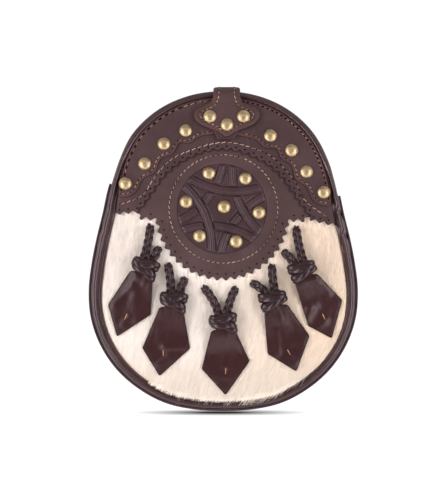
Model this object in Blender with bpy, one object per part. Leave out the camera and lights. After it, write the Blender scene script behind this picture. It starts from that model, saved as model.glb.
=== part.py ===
"""A sporran: a leather pouch worn in front of a kilt, with a cowhide front, studded leather
facings and five leather tassels. It lies on its back with its top towards +Y and its front up.

Sizes are millimetres. build() scales them to metres. Depths on the front are measured up from the
outer face of the hide, and the back panel slopes a little because the strap loop lifts it.
"""

import math

import bmesh
import bpy
from mathutils import Matrix, Vector
from mathutils.geometry import delaunay_2d_cdt

MM = 0.001
GAP = 0.3  # left between two pieces that touch on the real object

# The pouch seen from the front: its radius about OUTLINE_CENTRE_Y, the same left and right.
OUTLINE_CENTRE_Y = -10.0
OUTLINE_STEP = 11.25
OUTLINE = (  # degrees from the top, radius
    (0.0, 115.7),
    (11.25, 115.0),
    (22.5, 112.2),
    (33.75, 106.8),
    (45.0, 98.9),
    (56.25, 92.1),
    (67.5, 87.1),
    (78.75, 86.1),
    (90.0, 87.7),
    (101.25, 91.4),
    (112.5, 95.5),
    (123.75, 98.5),
    (135.0, 100.4),
    (146.25, 101.0),
    (157.5, 100.9),
    (168.75, 99.4),
    (180.0, 98.5),
)
RIM_STEP = 5  # degrees between sections round the rim
MOUTH_LEFT, MOUTH_RIGHT = 55, 60  # degrees from the top where the gusset ends, in whole steps

# The front bellies out most at BELLY_Y.
BELLY_Z, BELLY_Y = 44.0, -25.0
BELLY_CURVE_X, BELLY_CURVE_Y = 0.00094, 0.001344

HIDE = 2.0
BACK = 2.4
BACK_ROLL = 2.4  # radius
GUSSET = 2.0
GUSSET_EDGE, GUSSET_RISE = 1.2, 1.6  # its edge outside the front roll, and how high that stands
GUSSET_WAIST = 2.2  # how far in the gusset starts above the back roll
FRONT_ROLL = (  # degrees from the top, radius, height of its middle above the hide
    (-180, 2.6, 0.6),
    (-135, 3.2, 0.6),
    (-95, 3.7, 0.6),
    (-65, 3.3, 0.7),
    (-45, 2.2, 1.4),
    (50, 2.2, 1.4),
    (70, 2.8, 0.7),
    (95, 3.1, 0.6),
    (135, 2.9, 0.6),
    (180, 2.6, 0.6),
)
ROLL_EASE = 20.0  # degrees above the gusset's ends over which the roll draws in beside it

# Leather facings, as heights of their lower and upper faces above the hide.
DISC_BASE = (0.3, 1.1)
FACING = (0.3, 1.5)
BAND = (1.8, 3.0)
YOKE = (3.3, 4.7)
TONGUE = (5.0, 6.2)
TAB = (6.5, 8.1)
RELIEF = 0.6

PINK_PITCH, PINK_DEPTH = 5.9, 2.2
DOT_RADIUS, DOT_SIDES, DOT_INSET = 0.55, 5, 4.6

DISC_CENTRE, DISC_RADIUS = (-0.5, 23.4), 43.1
WINDOW_CENTRE, WINDOW_RADIUS = (-0.9, 26.4), 30.2
LEFT_SHOULDER = ((-57.9, 25.6), (-55.6, 20.0), (-45.0, 19.0))
RIGHT_SHOULDER = ((44.6, 18.6), (54.0, 18.2), (57.2, 22.0))
BAND_EDGE = (  # degrees from the top about DISC_CENTRE, radius
    (0.0, 42.4),
    (30.0, 42.7),
    (50.0, 45.0),
    (70.0, 47.8),
    (82.0, 51.5),
    (89.0, 56.0),
)
BAND_LEFT_Y, BAND_RIGHT_Y = 23.2, 15.2  # where the edges reach the rim
FACING_LEFT_Y, FACING_RIGHT_Y = 28.0, 25.0

# Interlaced ribbons embossed on the disc.
RIBBONS, RIBBON_FIRST = 6, 81.5  # how many, and the direction of the first one's middle
RIBBON_NEAR, RIBBON_FAR, RIBBON_WIDTH = 12.2, 27.6, 3.8

STUD_PROFILE = ((4.4, 0.0), (4.2, 0.9), (2.7, 1.8), (0.0, 2.2))  # radius, height
STUD_SIDES = 12
YOKE_STUDS = (
    (-65.4, 43.1),
    (-52.5, 56.5),
    (-39.7, 69.8),
    (-25.1, 78.7),
    (31.5, 75.3),
    (45.6, 65.4),
    (55.6, 51.0),
    (67.0, 37.2),
)
YOKE_TOP = (3.0, 82.6)
LOBE, VALLEY, LOBE_REACH = 9.0, 6.2, 9.0
TAB_STUDS = ((-8.9, 88.1), (2.5, 82.5), (13.5, 88.1))
RING_CENTRE, RING_RADIUS, RING_FIRST, RING_STUDS = (-0.5, 27.3), 24.6, 51.6, 6
MIDDLE_STUD = (0.5, 27.5)

TAB_X = 2.3
TAB_SHAPE = (  # distance from the tip along the strap, half width
    (0.0, 1.2),
    (2.4, 4.6),
    (4.3, 7.6),
    (6.0, 12.2),
    (8.6, 17.8),
    (12.0, 21.1),
    (15.3, 22.2),
    (18.2, 21.5),
    (20.4, 19.0),
    (22.4, 14.6),
    (24.4, 10.8),
    (27.0, 9.7),
    (33.0, 9.0),
    (81.0, 8.9),
)
TAB_TIP_Y, TAB_FRONT_END_Y = 74.2, 96.5
TAB_BEND = (  # y and z of the strap's inner face over the top of the pouch
    (102.2, 29.4),
    (105.5, 27.0),
    (106.9, 23.4),
    (106.9, 12.2),
    (106.3, 8.8),
    (103.4, 6.9),
    (99.2, 7.5),
)
TAB_REAR_Y = (94.0, 68.0)
TONGUE_SHAPE = ((-6.8, 88.0), (-6.8, 79.8), (-4.0, 72.8), (6.7, 72.8), (11.6, 79.8), (11.6, 88.0))
PRESS_STUD_Y, PRESS_STUD_RADIUS = 93.8, 5.0

# The loop that a strap passes through, sewn down along its two long edges.
LOOP_HALF_WIDTH, LOOP_LEATHER, TUNNEL = 30.0, 1.6, 4.5
LOOP_SEAM, LOOP_RISE, LOOP_TUNNEL_LOW, LOOP_TUNNEL_HIGH = 8.0, 3.0, 29.0, 53.0

TASSELS = (  # name, knot, the kite's left corner, tip and right corner, the ends of the long and short thong
    ("tassel_1", (-52.0, -12.6), (-76.3, -37.7), (-70.6, -58.4), (-48.5, -44.0), (-48.2, 16.3), (-42.2, 1.0)),
    ("tassel_2", (-33.1, -34.8), (-53.5, -66.3), (-42.4, -84.7), (-22.4, -66.5), (-37.2, -9.4), (-25.0, -19.3)),
    ("tassel_3", (-0.2, -48.9), (-14.0, -80.1), (1.5, -97.4), (17.1, -75.0), (-14.0, -24.9), (8.8, -25.4)),
    ("tassel_4", (33.0, -34.3), (29.8, -70.0), (48.5, -81.6), (56.9, -58.4), (32.3, -10.3), (17.9, -22.6)),
    ("tassel_5", (52.6, -14.8), (56.7, -51.4), (72.0, -59.6), (78.8, -34.8), (48.1, 15.0), (39.2, -1.7)),
)
KITE_NECK = ((-3.5, 4.2), (4.9, 4.2), (6.2, 7.8))  # along the tassel from its knot, half width
KITE_LEATHER, KITE_LIFT, KITE_LAID = 1.4, 5.3, 24.0
KNOT_HALF_WIDTH, KNOT_HALF_DEPTH, KNOT_HALF_LENGTH, KNOT_WALL = 9.8, 4.8, 4.6, 3.0
THONG = 2.7  # radius
THONG_APART = 3.0


def smooth(t):
    t = min(1.0, max(0.0, t))
    return t * t * (3 - 2 * t)


def table(rows, at):
    """The second column of a table at a value of its first, read in straight lines."""
    for (a, low), (b, high) in zip(rows, rows[1:]):
        if at <= b:
            return low + (high - low) * max(0.0, at - a) / (b - a)
    return rows[-1][1]


def smooth_curve(before, a, b, after, t):
    """A value between a (t = 0) and b (t = 1) on a smooth curve through four values or points."""
    bend = 2 * before - 5 * a + 4 * b - after + t * (3 * (a - b) + after - before)
    return a + t / 2 * (b - before + t * bend)


def signed(angle):
    return (angle + 180) % 360 - 180


def outline_radius(angle):
    """The outline's radius, by a smooth curve through the rows of OUTLINE."""
    angle = abs(signed(angle))
    last = len(OUTLINE) - 1
    row = min(int(angle / OUTLINE_STEP), last - 1)
    near = [OUTLINE[abs(i) if i <= last else 2 * last - i][1] for i in range(row - 1, row + 3)]
    return smooth_curve(*near, angle / OUTLINE_STEP - row)


def outline_point(angle):
    a = math.radians(angle)
    return Vector((math.sin(a), math.cos(a))) * outline_radius(angle) + Vector((0, OUTLINE_CENTRE_Y))


def inward(angle):
    """The direction into the pouch, square to its outline."""
    along = outline_point(angle + 0.5) - outline_point(angle - 0.5)
    return Vector((along.y, -along.x)).normalized()


def rim(angle, inset):
    return outline_point(angle) + inward(angle) * inset


ALL_ROUND = range(-180, 180, RIM_STEP)
ROUND_BODY = range(MOUTH_RIGHT, 360 - MOUTH_LEFT + 1, RIM_STEP)


def front_z(x, y):
    return BELLY_Z - BELLY_CURVE_X * x * x - BELLY_CURVE_Y * (y - BELLY_Y) ** 2


BOTTOM_Y = outline_point(180).y + BACK_ROLL
BACK_LOW = BACK_ROLL - BACK / 2
BACK_SLOPE = (LOOP_LEATHER + TUNNEL - BACK_LOW) / (LOOP_TUNNEL_LOW - BOTTOM_Y)


def back_z(y):
    """The outer face of the back panel."""
    return BACK_LOW + BACK_SLOPE * (y - BOTTOM_Y)


def front_roll(angle):
    """The front roll's radius, the inset of its middle from the outline, and its middle's height."""
    angle = signed(angle)
    radius = table([(a, r) for a, r, _ in FRONT_ROLL], angle)
    lift = table([(a, h) for a, _, h in FRONT_ROLL], angle)
    mouth = MOUTH_LEFT if angle < 0 else MOUTH_RIGHT
    beside_gusset = smooth((abs(angle) - mouth + ROLL_EASE) / ROLL_EASE)
    inset = radius + (GUSSET_EDGE + GAP) * beside_gusset
    return radius, inset, front_z(*rim(angle, inset)) + lift


def leather_inset(angle):
    radius, inset, _ = front_roll(angle)
    return inset + radius + GAP


def leather_rim(angle):
    return rim(angle, leather_inset(angle))


def leather_rim_at(y, side):
    """The point of the leather's rim at this height, on the left (-1) or the right (1)."""
    angle = 40.0
    while leather_rim(side * angle).y > y:
        angle += 0.2
    return leather_rim(side * angle)


def build(name, points, faces, material, smooth_angle=35):
    """A closed mesh object from points in millimetres."""
    mesh = bpy.data.meshes.new(name)
    mesh.from_pydata([Vector(p) * MM for p in points], [], faces)
    shaped = bmesh.new()
    shaped.from_mesh(mesh)
    bmesh.ops.triangulate(shaped, faces=[f for f in shaped.faces if len(f.verts) > 4])
    bmesh.ops.recalc_face_normals(shaped, faces=shaped.faces)
    shaped.to_mesh(mesh)
    shaped.free()
    mesh.shade_smooth()
    mesh.set_sharp_from_angle(angle=math.radians(smooth_angle))
    mesh.materials.append(material)
    made = bpy.data.objects.new(name, mesh)
    bpy.context.scene.collection.objects.link(made)
    return made


def loft(name, sections, material, closed=False):
    """A solid through rings of points, capped at both ends or joined into one ring."""
    count, sides = len(sections), len(sections[0])
    faces = []
    for i in range(count if closed else count - 1):
        here, there = i * sides, (i + 1) % count * sides
        for k in range(sides):
            after = (k + 1) % sides
            faces.append((here + k, here + after, there + after, there + k))
    if not closed:
        faces += [tuple(range(sides)), tuple(range((count - 1) * sides, count * sides))]
    return build(name, [p for ring in sections for p in ring], faces, material)


def inside(point, loop):
    odd = False
    for (x0, y0), (x1, y1) in zip(loop, loop[1:] + loop[:1]):
        if (y0 > point[1]) != (y1 > point[1]) and point[0] < x0 + (point[1] - y0) * (x1 - x0) / (y1 - y0):
            odd = not odd
    return odd


def flat_mesh(outer, holes=(), lines=(), spacing=16.0):
    """Triangles that fill a flat shape, with points inside it so that it can follow a curved face."""
    points, edges = [], []
    for loop in [outer, *holes, *lines]:
        start, count = len(points), len(loop)
        points += [Vector(p[:2]) for p in loop]
        edges += [(start + i, start + (i + 1) % count) for i in range(count)]
    low = [min(p[k] for p in outer) for k in (0, 1)]
    high = [max(p[k] for p in outer) for k in (0, 1)]
    boundary = list(points)
    for i in range(1, math.ceil((high[0] - low[0]) / spacing)):
        for j in range(1, math.ceil((high[1] - low[1]) / spacing)):
            p = Vector((low[0] + i * spacing, low[1] + j * spacing))
            if inside(p, outer) and min((p - q).length for q in boundary) > spacing / 3:
                points.append(p)
    found = delaunay_2d_cdt(points, edges, [], 0, 1e-5)
    corners = [tuple(v) for v in found[0]]
    kept = []
    for triangle in found[2]:
        middle = [sum(corners[i][k] for i in triangle) / 3 for k in (0, 1)]
        if inside(middle, outer) and not any(inside(middle, hole) for hole in holes):
            kept.append(triangle)
    used = sorted({i for triangle in kept for i in triangle})
    number = {old: new for new, old in enumerate(used)}
    return [corners[i] for i in used], [tuple(number[i] for i in triangle) for triangle in kept]


def walls(triangles, others, top, bottom):
    """Walls down the edges where triangles end, from points top(i) to points bottom(i)."""
    ends = {(t[k], t[(k + 1) % 3]) for t in triangles for k in range(3)}
    elsewhere = {(t[k], t[(k + 1) % 3]) for t in others for k in range(3)}
    return [
        (top(b), top(a), bottom(a), bottom(b))
        for a, b in sorted(ends)
        if (b, a) not in ends and (not others or (b, a) in elsewhere)
    ]


def sheet(name, outer, material, faces_at, place, holes=(), spacing=16.0):
    """A piece of leather between two heights above a curved face; place gives the point at x, y, height."""
    corners, triangles = flat_mesh(outer, holes, (), spacing)
    count = len(corners)
    points = [place(x, y, h) for h in reversed(faces_at) for x, y in corners]
    faces = list(triangles) + [tuple(i + count for i in reversed(t)) for t in triangles]
    faces += walls(triangles, (), lambda i: i, lambda i: i + count)
    return build(name, points, faces, material)


def on_front(x, y, height):
    return x, y, front_z(x, y) + height


def circle(centre, radius, sides, turn=0.0):
    return [
        (centre[0] + radius * math.cos(a), centre[1] + radius * math.sin(a))
        for a in (math.radians(turn) + 2 * math.pi * k / sides for k in range(sides))
    ]


def spaced(path, step):
    """Points along a path, about step apart, with both its ends."""
    lengths = [0.0]
    for a, b in zip(path, path[1:]):
        lengths.append(lengths[-1] + math.dist(a, b))
    count = max(2, round(lengths[-1] / step))
    found, row = [], 0
    for i in range(count + 1):
        at = lengths[-1] * i / count
        while row < len(path) - 2 and lengths[row + 1] < at:
            row += 1
        t = (at - lengths[row]) / (lengths[row + 1] - lengths[row])
        found.append(Vector(path[row]).lerp(Vector(path[row + 1]), t))
    return found


def left_of(path, i):
    along = path[min(i + 1, len(path) - 1)] - path[max(i - 1, 0)]
    return Vector((-along.y, along.x)).normalized()


def pinked(path):
    """A zigzag along a path from left to right, and its tooth tips, each with the way up from it."""
    line = spaced([tuple(p) for p in path], PINK_PITCH / 2)
    edge, tips = [], []
    for i, p in enumerate(line):
        up = left_of(line, i)
        out = i % 2 == 1 and i < len(line) - 1
        edge.append(p - up * (PINK_DEPTH / 2 if out else -PINK_DEPTH / 2))
        if out:
            tips.append((edge[-1], up))
    return edge, tips


def dots(tips):
    return [circle(p + up * DOT_INSET, DOT_RADIUS, DOT_SIDES, 90.0) for p, up in tips]


def upper_rim(edge):
    """The leather's rim over the top, from the right-hand end of a lower edge to its left-hand end."""
    every = [leather_rim(a) for a in ALL_ROUND]
    first, last = (min(range(len(every)), key=lambda i: (every[i] - edge[end]).length) for end in (0, -1))
    return every[last - 1 : first : -1]


def arc(centre, radius, first, last, step=3.0):
    """Points at compass angles, in degrees from the top."""
    count = max(2, round(abs(last - first) * math.radians(1) * radius / step))
    angles = [math.radians(first + (last - first) * i / count) for i in range(count + 1)]
    return [Vector((centre[0] + radius * math.sin(a), centre[1] + radius * math.cos(a))) for a in angles]


def facing_edge():
    """The lower edge of the round facing, from left to right. Outside its shoulders the band hides it."""
    left, right = leather_rim_at(FACING_LEFT_Y, -1), leather_rim_at(FACING_RIGHT_Y, 1)
    start = math.degrees(math.acos((RIGHT_SHOULDER[0][1] - DISC_CENTRE[1]) / DISC_RADIUS))
    round_part = arc(DISC_CENTRE, DISC_RADIUS, 358 - start, start + 2)
    shoulders = [[Vector(p) for p in side] for side in (LEFT_SHOULDER, RIGHT_SHOULDER)]
    return [left, *shoulders[0], *round_part, *shoulders[1], right]


def band_edge():
    """The lower edge of the horseshoe band, from left to right."""
    half = [(a, table(BAND_EDGE, a)) for a in range(0, 90, 4)] + [BAND_EDGE[-1]]
    curve = [(-a, r) for a, r in reversed(half)] + half[1:]
    arch = [arc(DISC_CENTRE, r, a, a)[0] for a, r in curve]
    left, right = leather_rim_at(BAND_LEFT_Y, -1), leather_rim_at(BAND_RIGHT_Y, 1)
    return [left, *arch, Vector((arch[-1].x + 3.0, BAND_RIGHT_Y + 3.6)), right]


def stud_line():
    """A smooth line through the studs of the yoke, carried on to both sides."""
    fixed = [(-78.0, 42.0), *YOKE_STUDS[:4], YOKE_TOP, *YOKE_STUDS[4:], (79.5, 36.0)]
    fixed = [Vector(p) for p in fixed]
    line = []
    for i in range(len(fixed) - 1):
        before, a, b, after = fixed[max(i - 1, 0)], fixed[i], fixed[i + 1], fixed[min(i + 2, len(fixed) - 1)]
        line += [smooth_curve(before, a, b, after, k / 8) for k in range(8)]
    return line + [fixed[-1]]


def yoke_edge():
    """The scalloped edge of the yoke, from left to right: a lobe round each stud."""
    line = spaced([tuple(p) for p in stud_line()], 2.6)
    edge = []
    for i, p in enumerate(line):
        away = min((p - Vector(s)).length for s in YOKE_STUDS)
        lobe = 0.5 + 0.5 * math.cos(math.pi * min(1.0, away / LOBE_REACH))
        edge.append(p - left_of(line, i) * (VALLEY + (LOBE - VALLEY) * lobe))
    return edge


def within_rim(edge):
    """The stretch of an edge that lies inside the leather's rim."""
    kept = []
    for p in edge:
        angle = math.degrees(math.atan2(p.x, p.y - OUTLINE_CENTRE_Y))
        if (p - Vector((0, OUTLINE_CENTRE_Y))).length < outline_radius(angle) - leather_inset(angle) - 0.5:
            kept.append(p)
    return kept


def make_facings(leather):
    edge, tips = pinked(facing_edge())
    window = circle(WINDOW_CENTRE, WINDOW_RADIUS, 40)
    top = upper_rim(edge)
    shown = [t for t in tips if t[0].y < 15.0]
    sheet("round_facing", [tuple(p) for p in edge + top], leather, FACING, on_front, [window, *dots(shown)])

    edge, tips = pinked(band_edge())
    top = upper_rim(edge)
    shown = [t for t in tips if abs(t[0].x) < 66.0]
    sheet("horseshoe_band", [tuple(p) for p in edge + top], leather, BAND, on_front, dots(shown))

    edge = within_rim(yoke_edge())
    top = upper_rim(edge)
    sheet("scalloped_yoke", [tuple(p) for p in edge + top], leather, YOKE, on_front)


def ribbon(middle):
    """One embossed ribbon between two places on the disc's edge, bowed towards its middle."""
    turn = Matrix.Rotation(math.radians(middle - 90), 2)
    half_angle = math.radians(180 / RIBBONS * 2)
    far_x, far_y = RIBBON_FAR * math.sin(half_angle), RIBBON_FAR * math.cos(half_angle)
    count = 10
    line = []
    for k in range(count + 1):
        share = 2 * k / count - 1
        p = Vector((far_x * share, RIBBON_NEAR + (far_y - RIBBON_NEAR) * share * share))
        line.append(Vector(WINDOW_CENTRE) + turn @ p)
    offset = [left_of(line, i) * (RIBBON_WIDTH / 2) for i in range(count + 1)]
    return [tuple(p + o) for p, o in zip(line, offset)] + [tuple(p - o) for p, o in zip(line, offset)][::-1]


def make_medallion(leather):
    """The disc in the facing's window, with ribbons raised on it."""
    outer = circle(WINDOW_CENTRE, WINDOW_RADIUS - GAP, 40)
    ribbons = [ribbon(RIBBON_FIRST + 360 / RIBBONS * k) for k in range(RIBBONS)]
    corners, triangles = flat_mesh(outer, (), ribbons, 9.0)
    raised, plain = [], []
    for t in triangles:
        middle = [sum(corners[i][k] for i in t) / 3 for k in (0, 1)]
        (raised if any(inside(middle, r) for r in ribbons) else plain).append(t)
    count = len(corners)
    low, high = DISC_BASE
    points = [on_front(x, y, h) for h in (low, high, high + RELIEF) for x, y in corners]
    faces = [tuple(reversed(t)) for t in triangles]
    faces += [tuple(i + count for i in t) for t in plain] + [tuple(i + 2 * count for i in t) for t in raised]
    faces += walls(triangles, (), lambda i: i + count, lambda i: i)
    faces += walls(raised, plain, lambda i: i + 2 * count, lambda i: i + count)
    used = sorted({i for f in faces for i in f})
    number = {old: new for new, old in enumerate(used)}
    build("embossed_disc", [points[i] for i in used], [tuple(number[i] for i in f) for f in faces], leather)


def front_normal(x, y):
    return Vector((2 * BELLY_CURVE_X * x, 2 * BELLY_CURVE_Y * (y - BELLY_Y), 1.0)).normalized()


def stud_mesh(brass):
    rings = [[(x, y, z) for x, y in circle((0, 0), r, STUD_SIDES)] for r, z in STUD_PROFILE[:-1]]
    points = [p for ring in rings for p in ring] + [(0.0, 0.0, STUD_PROFILE[-1][1])]
    faces = [tuple(range(STUD_SIDES))]
    for k in range(STUD_SIDES):
        after = (k + 1) % STUD_SIDES
        for low in range(0, len(points) - 1 - STUD_SIDES, STUD_SIDES):
            high = low + STUD_SIDES
            faces.append((low + k, low + after, high + after, high + k))
        faces.append((high + k, high + after, len(points) - 1))
    made = build("stud", points, faces, brass, 50)
    mesh = made.data
    bpy.data.objects.remove(made)
    return mesh


def make_studs(brass):
    mesh = stud_mesh(brass)
    ring = circle(RING_CENTRE, RING_RADIUS, RING_STUDS, RING_FIRST)
    groups = (
        ("yoke_stud", YOKE_STUDS, YOKE[1]),
        ("tab_stud", TAB_STUDS, TAB[1]),
        ("disc_stud", (MIDDLE_STUD, *ring), DISC_BASE[1]),
    )
    for name, places, height in groups:
        for i, (x, y) in enumerate(places):
            normal = front_normal(x, y)
            made = bpy.data.objects.new(f"{name}_{i + 1}", mesh)
            made.location = Vector(on_front(x, y, height + GAP)) * MM
            made.rotation_euler = normal.to_track_quat("Z", "Y").to_euler()
            bpy.context.scene.collection.objects.link(made)


def tube_sections(stations, sides, turn=0.0):
    """Rings round the rim: each station is an angle, an inset, a height and a radius."""
    rings = []
    for angle, inset, z, radius in stations:
        centre, into = rim(angle, inset), inward(angle)
        ring = []
        for k in range(sides):
            a = math.radians(turn) + 2 * math.pi * k / sides
            p = centre + into * (radius * math.cos(a))
            ring.append((p.x, p.y, z + radius * math.sin(a)))
        rings.append(ring)
    return rings


def make_front_roll(leather):
    """The rolled binding all round the front: thin over the mouth, thick round the body."""
    stations = []
    for angle in ALL_ROUND:
        radius, inset, z = front_roll(angle)
        stations.append((angle, inset, z, radius))
    loft("front_roll", tube_sections(stations, 8, 22.5), leather, closed=True)


def make_gusset(leather):
    """The side wall, from the back roll to its thin edge that shows outside the front roll."""
    steps = 4
    sections = []
    for angle in ROUND_BODY:
        low = back_z(rim(angle, BACK_ROLL).y) + BACK / 2 + BACK_ROLL + GAP
        high = front_roll(angle)[2] + GUSSET_RISE
        outer, inner = [], []
        for k in range(steps + 1):
            t = k / steps
            inset = GUSSET_WAIST * (1 - t) ** 2
            wall = GUSSET_EDGE if k == steps else GUSSET
            for side, depth in ((outer, 0.0), (inner, wall)):
                p = rim(angle, inset + depth)
                side.append((p.x, p.y, low + (high - low) * t))
        sections.append(outer + inner[::-1])
    loft("gusset", sections, leather)


def make_back(leather):
    edge = [rim(a, 2 * BACK_ROLL + GAP) for a in ALL_ROUND]
    sections = [[(p.x, p.y, back_z(p.y) + h) for p in edge] for h in (0.0, BACK)]
    loft("back_panel", sections, leather)
    stations = [(a, BACK_ROLL, back_z(rim(a, BACK_ROLL).y) + BACK / 2, BACK_ROLL) for a in ALL_ROUND]
    loft("back_roll", tube_sections(stations, 6, 30.0), leather, closed=True)


def make_hide(hide):
    edge = [leather_rim(a) for a in reversed(ALL_ROUND)]
    sheet("hide_front", [tuple(p) for p in edge], hide, (-HIDE, 0.0), on_front)


def make_strap_loop(leather):
    """A flat loop across the back. It carries the pouch where it lies, so its outer face is level."""
    low, high = LOOP_TUNNEL_LOW, LOOP_TUNNEL_HIGH
    ends = (low - LOOP_RISE - LOOP_SEAM, low - LOOP_RISE), (high + LOOP_RISE, high + LOOP_RISE + LOOP_SEAM)
    seam = [(y, back_z(y) - GAP) for pair in ends for y in pair]
    inner = [*seam[:2], (low, LOOP_LEATHER), (high, LOOP_LEATHER), *seam[2:]]
    outer = [(y, max(0.0, z - LOOP_LEATHER)) for y, z in inner]
    profile = inner + outer[::-1]
    sections = [[(x, y, z) for y, z in profile] for x in (-LOOP_HALF_WIDTH, LOOP_HALF_WIDTH)]
    loft("strap_loop", sections, leather)


def tab_path():
    """The tab's inner face seen from the side, from its tip over the top and down the back."""
    front = [(TAB_TIP_Y + (TAB_FRONT_END_Y - TAB_TIP_Y) * i / 4) for i in range(5)]
    path = [(y, front_z(TAB_X, y) + TAB[0]) for y in front]
    path += TAB_BEND
    return path + [(y, back_z(y) - GAP) for y in TAB_REAR_Y]


def tab_stations():
    """Each point of the tab's path with its distance from the tip and the way out of the leather."""
    path = [Vector(p) for p in tab_path()]
    distance, found = 0.0, []
    for i, p in enumerate(path):
        if i:
            distance += (p - path[i - 1]).length
        found.append((distance, p, left_of(path, i)))
    return found


def make_tab(leather):
    """The closing tab: a three-lobed end, and a strap over the mouth and down the back."""
    stations = tab_stations()
    total = stations[-1][0]
    rows = sorted({d for d, _ in TAB_SHAPE if d < total} | {d for d, _, _ in stations})
    rings = []
    for d in rows:
        i = max(k for k in range(len(stations) - 1) if stations[k][0] <= d + 1e-9)
        (d0, p0, n0), (d1, p1, n1) = stations[i], stations[i + 1]
        t = (d - d0) / (d1 - d0)
        p, out = p0.lerp(p1, t), n0.lerp(n1, t).normalized()
        half = table(TAB_SHAPE, d)
        on_face = 1.0 - smooth((p.x - TAB_FRONT_END_Y) / 4.0)
        ring = []
        for thick, across in ((0.0, (-1, -0.5, 0, 0.5, 1)), (TAB[1] - TAB[0], (1, 0.5, 0, -0.5, -1))):
            for share in across:
                x = TAB_X + share * half
                q = p + out * thick
                drop = (front_z(x, 0) - front_z(TAB_X, 0)) * on_face
                ring.append((x, q.x, q.y + drop))
        rings.append(ring)
    loft("closing_tab", rings, leather)


def make_closure(leather, steel):
    make_tab(leather)
    sheet("tab_tongue", list(TONGUE_SHAPE), leather, TONGUE, on_front)
    disc = circle((TAB_X, PRESS_STUD_Y), PRESS_STUD_RADIUS, 12)
    sheet("press_stud", disc, steel, (YOKE[1] + GAP, TAB[0] - GAP), on_front)


def tassel_frame(knot, tip):
    """The directions along a tassel, from its knot to its tip, and across it to the right."""
    along = (tip - knot).normalized()
    return along, Vector((-along.y, along.x))


def kite_shape(knot, along, across, corners):
    """The kite's points as (across, along) its tassel: neck, shoulders, and its own three corners."""
    left = [(-half, y) for y, half in KITE_NECK]
    right = [(half, y) for y, half in reversed(KITE_NECK)]
    own = [((c - knot).dot(across), (c - knot).dot(along)) for c in corners]
    return left + own + right


def make_kite(name, knot, along, across, corners, leather):
    """The kite of leather, lifted where it passes through its knot and laid on the hide below."""

    def place(x, y, height):
        p = knot + along * y + across * x
        lift = KITE_LIFT - (KITE_LIFT - GAP - KITE_LEATHER / 2) * smooth(y / KITE_LAID)
        return p.x, p.y, front_z(p.x, p.y) + lift + height

    half = KITE_LEATHER / 2
    sheet(name, kite_shape(knot, along, across, corners), leather, (-half, half), place, (), 7.0)


def make_knot(name, knot, along, across, leather):
    """The wound knot round the kite's neck: a ring of leather, flat at both ends."""
    around, sides = 16, 6
    middle_z = front_z(*knot) + KITE_LIFT
    wide, deep = KNOT_HALF_WIDTH - KNOT_WALL / 2, KNOT_HALF_DEPTH - KNOT_WALL / 2
    rings = []
    for i in range(around):
        a = 2 * math.pi * i / around
        ring = []
        for k in range(sides):
            b = math.radians(30) + 2 * math.pi * k / sides
            swell = KNOT_WALL / 2 * math.cos(b)
            p = knot + across * ((wide + swell) * math.cos(a)) + along * (KNOT_HALF_LENGTH * math.sin(b))
            ring.append((p.x, p.y, middle_z + (deep + swell) * math.sin(a)))
        rings.append(ring)
    loft(name, rings, leather, closed=True)


def make_thong(name, start, along, end, leather):
    """One braided thong, from the knot to the hole in the hide that it goes into."""
    count, sides = 8, 6
    control = start - along * (0.4 * (end - start).length)
    rings = []
    for i in range(count + 1):
        t = i / count
        p = start * (1 - t) ** 2 + control * (2 * t * (1 - t)) + end * t**2
        run = (control - start) * (2 * (1 - t)) + (end - control) * (2 * t)
        side = Vector((run.y, -run.x)).normalized()
        radius = THONG * (0.62 if i == count else 1.0)
        z = front_z(p.x, p.y) + GAP + radius + (KITE_LIFT - GAP - THONG) * (1 - smooth(2 * t))
        ring = []
        for k in range(sides):
            a = math.radians(30) + 2 * math.pi * k / sides
            q = p + side * (radius * math.cos(a))
            ring.append((q.x, q.y, z + radius * math.sin(a)))
        rings.append(ring)
    loft(name, rings, leather)


def make_tassels(leather, thong_leather):
    for name, *places in TASSELS:
        knot, left, tip, right, long_end, short_end = [Vector(p) for p in places]
        along, across = tassel_frame(knot, tip)
        make_kite(f"{name}_kite", knot, along, across, (left, tip, right), leather)
        make_knot(f"{name}_knot", knot, along, across, thong_leather)
        for end, other, which in ((long_end, short_end, "long"), (short_end, long_end, "short")):
            side = 1 if (end - other).dot(across) > 0 else -1
            start = knot - along * (KNOT_HALF_LENGTH + GAP) + across * (side * THONG_APART)
            make_thong(f"{name}_{which}_thong", start, along, end, thong_leather)


def material(name, colour, roughness, metallic=0.0):
    made = bpy.data.materials.new(name)
    made.use_nodes = True
    shader = made.node_tree.nodes["Principled BSDF"]
    shader.inputs["Base Color"].default_value = (*colour, 1.0)
    shader.inputs["Roughness"].default_value = roughness
    shader.inputs["Metallic"].default_value = metallic
    made.diffuse_color = (*colour, 1.0)
    return made


def main():
    for old in list(bpy.data.objects):
        bpy.data.objects.remove(old)
    matt = material("matt_brown_leather", (0.105, 0.062, 0.059), 0.6)
    glossy = material("glossy_dark_leather", (0.055, 0.032, 0.034), 0.35)
    kite = material("oxblood_leather", (0.068, 0.030, 0.028), 0.4)
    hide = material("cream_cowhide", (0.86, 0.76, 0.65), 0.8)
    brass = material("brass", (0.72, 0.52, 0.24), 0.3, 1.0)
    steel = material("press_stud_steel", (0.5, 0.5, 0.5), 0.35, 1.0)
    make_back(glossy)
    make_strap_loop(matt)
    make_gusset(glossy)
    make_hide(hide)
    make_front_roll(glossy)
    make_facings(matt)
    make_medallion(matt)
    make_closure(matt, steel)
    make_studs(brass)
    make_tassels(kite, glossy)


main()
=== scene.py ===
"""The looks of a sporran pouch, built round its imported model.

Sizes are millimetres and mesh_piece() scales them to metres. Heights on the front are measured up
from the skin side of the cowhide, as in the model. Curves repeat the model's own named sizes.
"""

import math
import random

import bpy
import numpy as np
from mathutils import Matrix, Vector, kdtree, noise
from mathutils.geometry import delaunay_2d_cdt


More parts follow.
